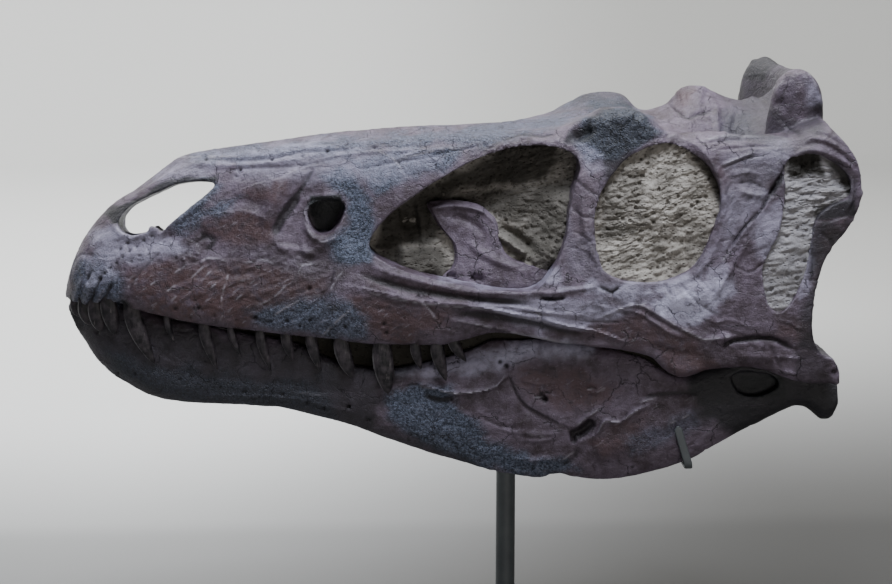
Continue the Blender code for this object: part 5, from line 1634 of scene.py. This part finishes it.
def clip_rings():
    """Rounded strip carried along the line that hugs the lower edge of the jaw."""
    outer = float(jaw_y(CLIP_PLACE)) + 0.5
    inner = float(jaw_y(CLIP_PLACE) - jaw_thickness(CLIP_PLACE))
    under = float(jaw_low_z(CLIP_PLACE)) - CLIP_CLEARANCE
    line = smooth_curve(((115.3, outer + 1.2, 208.5), (116.6, outer + 1.3, 203.0),
                         (120.2, outer + 1.6, 191.0), (123.0, outer + 1.6, under + 4),
                         (123.6, outer + 0.8, under + 1), (CLIP_PLACE, outer - 1.6, under),
                         (CLIP_PLACE, inner - 0.6, under), (CLIP_PLACE, inner - 2.8, under + 1),
                         (CLIP_PLACE, inner - 3.4, under + 3.5),
                         (CLIP_PLACE, inner - 3.4, under + 8)), 10, closed=False)
    ahead = np.gradient(line, axis=0)
    ahead /= np.linalg.norm(ahead, axis=1)[:, None]
    broad = np.array([1.0, 0, 0]) - ahead * ahead[:, :1]
    broad /= np.linalg.norm(broad, axis=1)[:, None]
    thin = np.cross(ahead, broad)
    a = np.arange(32)[None, :, None] * math.tau / 32
    across, deep = (np.sign(v) * np.abs(v) ** 0.45 for v in (np.cos(a), np.sin(a)))
    size = np.clip(np.sqrt(np.linspace(0, 1, len(line)) / 0.06), 0.25, 1)[:, None, None]
    ring = (line[:, None] + size * broad[:, None] * across * CLIP_WIDTH / 2
            + thin[:, None] * deep * CLIP_THICKNESS / 2)
    return ring * (1, -1, 1)


clip = put("stand_clip_left_strip", *skin(clip_rings()))
dress(post, "stand_post")
dress(clip, "stand_clip_left")
mirror_piece(clip, "stand_clip_right_strip", "stand_clip_right")
print("pieces:", len(made), round(time.time() - started, 1), "s")

# %% [markdown]
# ## Shader helper
# Materials are sums and products of patterns. A small class lets the operators of Python
# add the Math nodes, so a finish reads like the formula that it is.


# %% Sockets as numbers, and one method for every other node
class Wire:
    """A node's output that Python's operators turn into Math nodes."""

    def __init__(self, finish, socket):
        self.finish, self.socket = finish, socket

    def _maths(self, operation, first, second):
        return self.finish.node("ShaderNodeMath", {0: first, 1: second}, operation=operation)

    def __add__(self, other):
        return self._maths("ADD", self, other)

    def __radd__(self, other):
        return self._maths("ADD", other, self)

    def __sub__(self, other):
        return self._maths("SUBTRACT", self, other)

    def __rsub__(self, other):
        return self._maths("SUBTRACT", other, self)

    def __mul__(self, other):
        return self._maths("MULTIPLY", self, other)

    def __rmul__(self, other):
        return self._maths("MULTIPLY", other, self)


class Finish:
    """A Principled material whose patterns are placed in millimetres."""

    def __init__(self, name):
        self.material = bpy.data.materials.new(name)
        self.material.use_nodes = True
        self.nodes = self.material.node_tree.nodes
        self.links = self.material.node_tree.links
        self.shader = self.nodes["Principled BSDF"]
        place = self.node("ShaderNodeTexCoord", {}, result="Object")
        self.place = self.node("ShaderNodeVectorMath", {0: place, 3: 1 / MM}, operation="SCALE")

    def node(self, kind, sockets, result=0, **settings):
        """Add a node: settings first, then each socket's value or link."""
        made_node = self.nodes.new(kind)
        for key, value in settings.items():
            setattr(made_node, key, value)
        for key, value in sockets.items():
            self.feed(made_node.inputs[key], value)
        return Wire(self, made_node.outputs[result])

    def feed(self, socket, value):
        if isinstance(value, Wire):
            self.links.new(value.socket, socket)
        else:
            socket.default_value = value

    def noise(self, size, detail=4.0, rough=0.55, stretch=(1, 1, 1), slant=0.0):
        """Noise from 0 to 1 whose swells are about a size in millimetres apart.

        A slant in radians turns the stretch in side view, so that streaks rise rearwards.
        """
        place = self.place
        if slant:
            place = self.node("ShaderNodeVectorRotate", {"Vector": place, "Angle": slant},
                              rotation_type="Y_AXIS")
        place = self.node("ShaderNodeVectorMath", {0: place, 1: stretch}, operation="MULTIPLY")
        return self.node("ShaderNodeTexNoise", {"Vector": place, "Scale": 1 / size,
                                                "Detail": detail, "Roughness": rough})

    def cells(self, size, feature="F1", stretch=(1, 1, 1), wander=None):
        """Distance to the nearest seed or edge; a wander of (reach, size) bends the cells."""
        place = self.node("ShaderNodeVectorMath", {0: self.place, 1: stretch},
                          operation="MULTIPLY")
        if wander:
            reach, bends = wander
            drift = self.node("ShaderNodeTexNoise", {"Vector": place, "Scale": 1 / bends,
                                                     "Detail": 3.0}, result="Color")
            drift = self.node("ShaderNodeVectorMath", {0: drift, 3: float(reach)},
                              operation="SCALE")
            place = self.node("ShaderNodeVectorMath", {0: place, 1: drift}, operation="ADD")
        return self.node("ShaderNodeTexVoronoi", {"Vector": place, "Scale": 1 / size},
                         feature=feature, result="Distance")

    def step(self, value, low, high):
        """Smooth step of a value between two levels, either way round."""
        return self.node("ShaderNodeMapRange", {"Value": value, "From Min": low,
                                                "From Max": high},
                         interpolation_type="SMOOTHSTEP")

    def tint(self, colour, other, share):
        """Mix two colours by a share from 0 to 1."""
        mixed = self.node("ShaderNodeMix", {}, result=2, data_type="RGBA")
        made_node = mixed.socket.node
        shade = [value if isinstance(value, Wire) else (*value, 1.0) for value in (colour, other)]
        self.feed(made_node.inputs[0], share)
        self.feed(made_node.inputs[6], shade[0])
        self.feed(made_node.inputs[7], shade[1])
        return mixed

    def axes(self):
        """The three coordinates in millimetres, as numbers."""
        split = self.node("ShaderNodeSeparateXYZ", {0: self.place}).socket.node
        return [Wire(self, output) for output in split.outputs]

    def painted(self, name):
        return self.node("ShaderNodeAttribute", {}, result="Fac", attribute_name=name)

    def surface(self, colour, roughness, height, depth, specular=0.5):
        """Feed the shader: colour, roughness, and a bump of a depth in millimetres."""
        self.shader.inputs["Specular IOR Level"].default_value = specular
        self.feed(self.shader.inputs["Base Color"], colour)
        self.feed(self.shader.inputs["Roughness"], roughness)
        bump = self.node("ShaderNodeBump", {"Height": height, "Distance": depth * MM,
                                            "Strength": 1.0}, result="Normal")
        self.feed(self.shader.inputs["Normal"], bump)
        return self.material

# %% [markdown]
# ## Finishes
# Fossil bone took up minerals as it lay. Most of it is purple-brown with a satin sheen;
# some areas turned slate blue and grainy, others rust red. Every finish is built from
# patterns at a few sizes, from blotches a hand wide to pores under a millimetre.


# %% Bone
def bone_finish(name):
    finish = Finish(name)
    blotch = finish.noise(34, 5, 0.6)
    mottle = finish.noise(7, 5, 0.65)
    streak = finish.noise(5, 5, 0.7, stretch=(0.4, 1, 1))
    scratch = finish.noise(2.6, 2, 0.5, stretch=(0.22, 0.5, 1), slant=0.6)
    grain = finish.noise(1.8, 4, 0.75)
    fleck = finish.noise(2.6, 3, 0.7)
    blue, red, pale, dark, worn, deep, vein = (finish.painted(key) for key in MASKS[:-1])
    crack = 1 - finish.step(finish.cells(24, "DISTANCE_TO_EDGE", wander=(9, 5)), 0.0, 0.022)
    crack = crack * finish.step(blotch, 0.44, 0.60)
    colour = finish.tint((0.044, 0.030, 0.037), (0.152, 0.120, 0.162),
                         0.55 * finish.step(blotch, 0.34, 0.66)
                         + 0.45 * finish.step(mottle, 0.36, 0.66))
    colour = finish.tint(colour, (0.070, 0.036, 0.034),
                         0.85 * red * finish.step(mottle, 0.30, 0.58))
    slate = finish.tint((0.018, 0.026, 0.042), (0.135, 0.160, 0.225),
                        finish.step(grain, 0.38, 0.66))
    colour = finish.tint(colour, slate, 0.92 * blue)
    # Painted highlight on the high, smooth places of the bone.
    colour = finish.tint(colour, (0.43, 0.42, 0.55), pale * finish.step(mottle, 0.12, 0.62))
    # Lighter ridges: wear, with a painted highlight on their crests.
    colour = finish.tint(colour, (0.26, 0.235, 0.285),
                         0.85 * worn * finish.step(grain, 0.34, 0.62))
    colour = finish.tint(colour, (0.215, 0.19, 0.235), 0.55 * finish.step(fleck, 0.60, 0.74))
    colour = finish.tint(colour, (0.28, 0.26, 0.30),
                         (0.14 + 0.22 * red) * finish.step(scratch, 0.63, 0.72))
    # Painted shade in hollows, grooves and pits.
    colour = finish.tint(colour, (0.011, 0.009, 0.011), 0.85 * deep)
    colour = finish.tint(colour, (0.012, 0.010, 0.012), 0.7 * finish.step(streak, 0.42, 0.26))
    colour = finish.tint(colour, (0.013, 0.011, 0.012), 0.8 * crack)
    colour = finish.tint(colour, (0.34, 0.32, 0.36), 0.55 * vein)
    # Painted shade under rims, in pockets and on the far side.
    colour = finish.tint(colour, (0.012, 0.013, 0.015), dark)
    roughness = 0.22 + 0.26 * streak + 0.14 * blue + 0.12 * grain
    pores = finish.step(finish.cells(1.6), 0.10, 0.45)
    height = (0.60 * streak + 0.45 * grain + 0.25 * mottle + 0.30 * pores * (0.25 + blue)
              + 0.25 * scratch - 0.35 * crack)
    return finish.surface(colour, roughness, height, 1.4, specular=0.36)


# %% Rock
def rock_finish(name):
    finish = Finish(name)
    blotch = finish.noise(13, 5, 0.6)
    grain = finish.noise(2.0, 5, 0.7)
    pits = finish.step(finish.cells(2.4, stretch=(0.6, 1, 1)), 0.06, 0.36)
    deep, fold, worn, blue = (finish.painted(key) for key in ("deep", "fold", "worn", "blue"))
    colour = finish.tint((0.200, 0.185, 0.164), (0.375, 0.350, 0.318),
                         finish.step(blotch, 0.32, 0.66))
    # Painted highlight on the crests of the lumps.
    colour = finish.tint(colour, (0.47, 0.44, 0.40), 0.8 * worn * finish.step(grain, 0.35, 0.65))
    # Painted shade in the folds and in the pits.
    colour = finish.tint(colour, (0.072, 0.062, 0.052), 0.72 * fold)
    colour = finish.tint(colour, (0.080, 0.070, 0.060), 0.7 * (1 - pits))
    colour = finish.tint(colour, (0.275, 0.275, 0.32), 0.55 * blue)
    # Near-black painted shade in the dark places and in the rock between the jaws.
    colour = finish.tint(colour, (0.017, 0.015, 0.011), 0.92 * deep)
    height = 0.8 * grain + 0.6 * pits
    return finish.surface(colour, 0.80 + 0.14 * grain, height, 1.3, specular=0.25)


# %% Enamel
def enamel_finish(name):
    finish = Finish(name)
    ribs = finish.noise(2.2, 4, 0.6, stretch=(1, 1, 0.16))
    blotch = finish.noise(5, 4, 0.6)
    worn = finish.noise(3.0, 3, 0.6, stretch=(1, 1, 0.3))
    colour = finish.tint((0.008, 0.007, 0.009), (0.050, 0.041, 0.047),
                         finish.step(blotch, 0.35, 0.7))
    colour = finish.tint(colour, (0.15, 0.13, 0.13), 0.55 * finish.step(worn, 0.60, 0.74))
    # Painted highlight along the front cutting edge of each tooth.
    colour = finish.tint(colour, (0.36, 0.34, 0.36),
                         0.8 * finish.painted("edge") * finish.step(blotch, 0.30, 0.50))
    return finish.surface(colour, 0.30 + 0.25 * blotch, ribs, 0.8, specular=0.3)


# %% Painted steel
def steel_finish(name):
    finish = Finish(name)
    peel = finish.noise(0.9, 2, 0.5)
    wear = finish.noise(30, 4, 0.6)
    colour = finish.tint((0.055, 0.062, 0.066), (0.082, 0.092, 0.096),
                         finish.step(wear, 0.35, 0.7))
    return finish.surface(colour, 0.42 + 0.12 * wear, peel, 0.12)


bone_material = bone_finish("fossil_bone")
rock_material = rock_finish("host_rock")
tooth_material = enamel_finish("tooth_enamel")
steel_material = steel_finish("painted_steel")


# %% Give each piece its finish
for name, piece in made.items():
    piece.data.materials.clear()
    if name.startswith("stand_"):
        piece.data.materials.append(steel_material)
    elif name.startswith("rock_"):
        piece.data.materials.append(rock_material)
    elif name.endswith("_teeth"):
        piece.data.materials.append(tooth_material)
    else:
        piece.data.materials.append(bone_material)
for node in ("stand_base", "stand_cradle"):
    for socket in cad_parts[node].material_slots:
        socket.material = steel_material
print("finished", round(time.time() - started, 1), "s")

# %% [markdown]
# ## Room and light
# A pale seamless floor runs far back, and a ring of pale wall closes it. One wide soft
# light hangs over the skull, so that the top of each form is bright and the lower jaw
# falls into shade, and the room's own light fills the rest.

# %% Floor, wall and lights
ROOM_RADIUS, ROOM_HIGH, ROOM_BEND = 4000.0, 3500.0, 900.0


def room_rings():
    """Circle profile: flat floor, a quarter-round bend, then a wall."""
    bend = np.linspace(0, math.pi / 2, 24)
    radius = np.concatenate([np.linspace(1, ROOM_RADIUS - ROOM_BEND, 40),
                             ROOM_RADIUS - ROOM_BEND + ROOM_BEND * np.sin(bend),
                             [ROOM_RADIUS]])[:, None]
    height = np.concatenate([np.zeros(40), ROOM_BEND * (1 - np.cos(bend)), [ROOM_HIGH]])[:, None]
    a = np.arange(128)[None] * math.tau / 128
    return np.stack([radius * np.cos(a), radius * np.sin(a), height + 0 * a], -1)


rings = room_rings()
rows, around = rings.shape[:2]
points, faces = skin(rings)
room = put("room", points[:-1], faces[np.all(faces < rows * around + 1, axis=1)])
room.data.flip_normals()
finish = Finish("floor_with_painted_shade")
cloud = finish.noise(900, 3, 0.5)
along_x, along_y, _ = finish.axes()
# Painted shade on the floor and wall: darker to the right, darker in front than far back, and a
# step darker in front of a line 310 mm behind the skull.
to_right = finish.step(along_x, -420, 330)
far = finish.tint((0.65, 0.655, 0.65), (0.42, 0.42, 0.41), finish.step(along_x, -250, 760))
near = finish.tint((0.27, 0.27, 0.265), (0.062, 0.060, 0.056), to_right)
pale = finish.tint(near, far, finish.step(along_y, 150 + 130 * to_right, 800 + 600 * to_right))
pale = finish.tint((0.0, 0.0, 0.0), pale, 0.84 + 0.16 * finish.step(along_y, 310, 370))
room.data.materials.append(finish.surface(pale, 0.9, cloud, 0.1))


def soft_light(name, place, aim, size, power, colour):
    light = bpy.data.lights.new(name, "AREA")
    light.shape = "RECTANGLE"
    light.size, light.size_y = size
    light.energy = power
    light.color = colour
    lamp = add_object(name, light)
    lamp.location = place
    lamp.visible_camera = False
    lamp.rotation_mode = "QUATERNION"
    lamp.rotation_quaternion = (Vector(aim) - Vector(place)).to_track_quat("-Z", "Y")
    return lamp


soft_light("overhead", (0.10, -0.38, 1.65), (0.02, -0.02, 0.3), (0.9, 0.6), 38, (0.88, 0.92, 1.0))
soft_light("fill", (0.35, -1.55, 0.22), (0.05, 0.0, 0.22), (1.2, 0.5), 6.0, (1.0, 0.96, 0.92))
soft_light("backdrop", (-0.6, 1.1, 2.4), (-0.6, 2.8, 0.4), (3.0, 1.2), 173, (1.0, 1.0, 0.985))
world = bpy.data.worlds.new("room_light")
bpy.context.scene.world = world
world.use_nodes = True
world.node_tree.nodes["Background"].inputs["Color"].default_value = (0.92, 0.95, 1.0, 1.0)
world.node_tree.nodes["Background"].inputs["Strength"].default_value = 0.16

# %% [markdown]
# ## Size of the mesh
# The faces of all the pieces are counted.

# %% Count the faces
bpy.context.view_layer.update()
triangles = sum(len(piece.data.polygons) for piece in made.values())
print("triangles and quads in all:", triangles, round(time.time() - started, 1), "s")
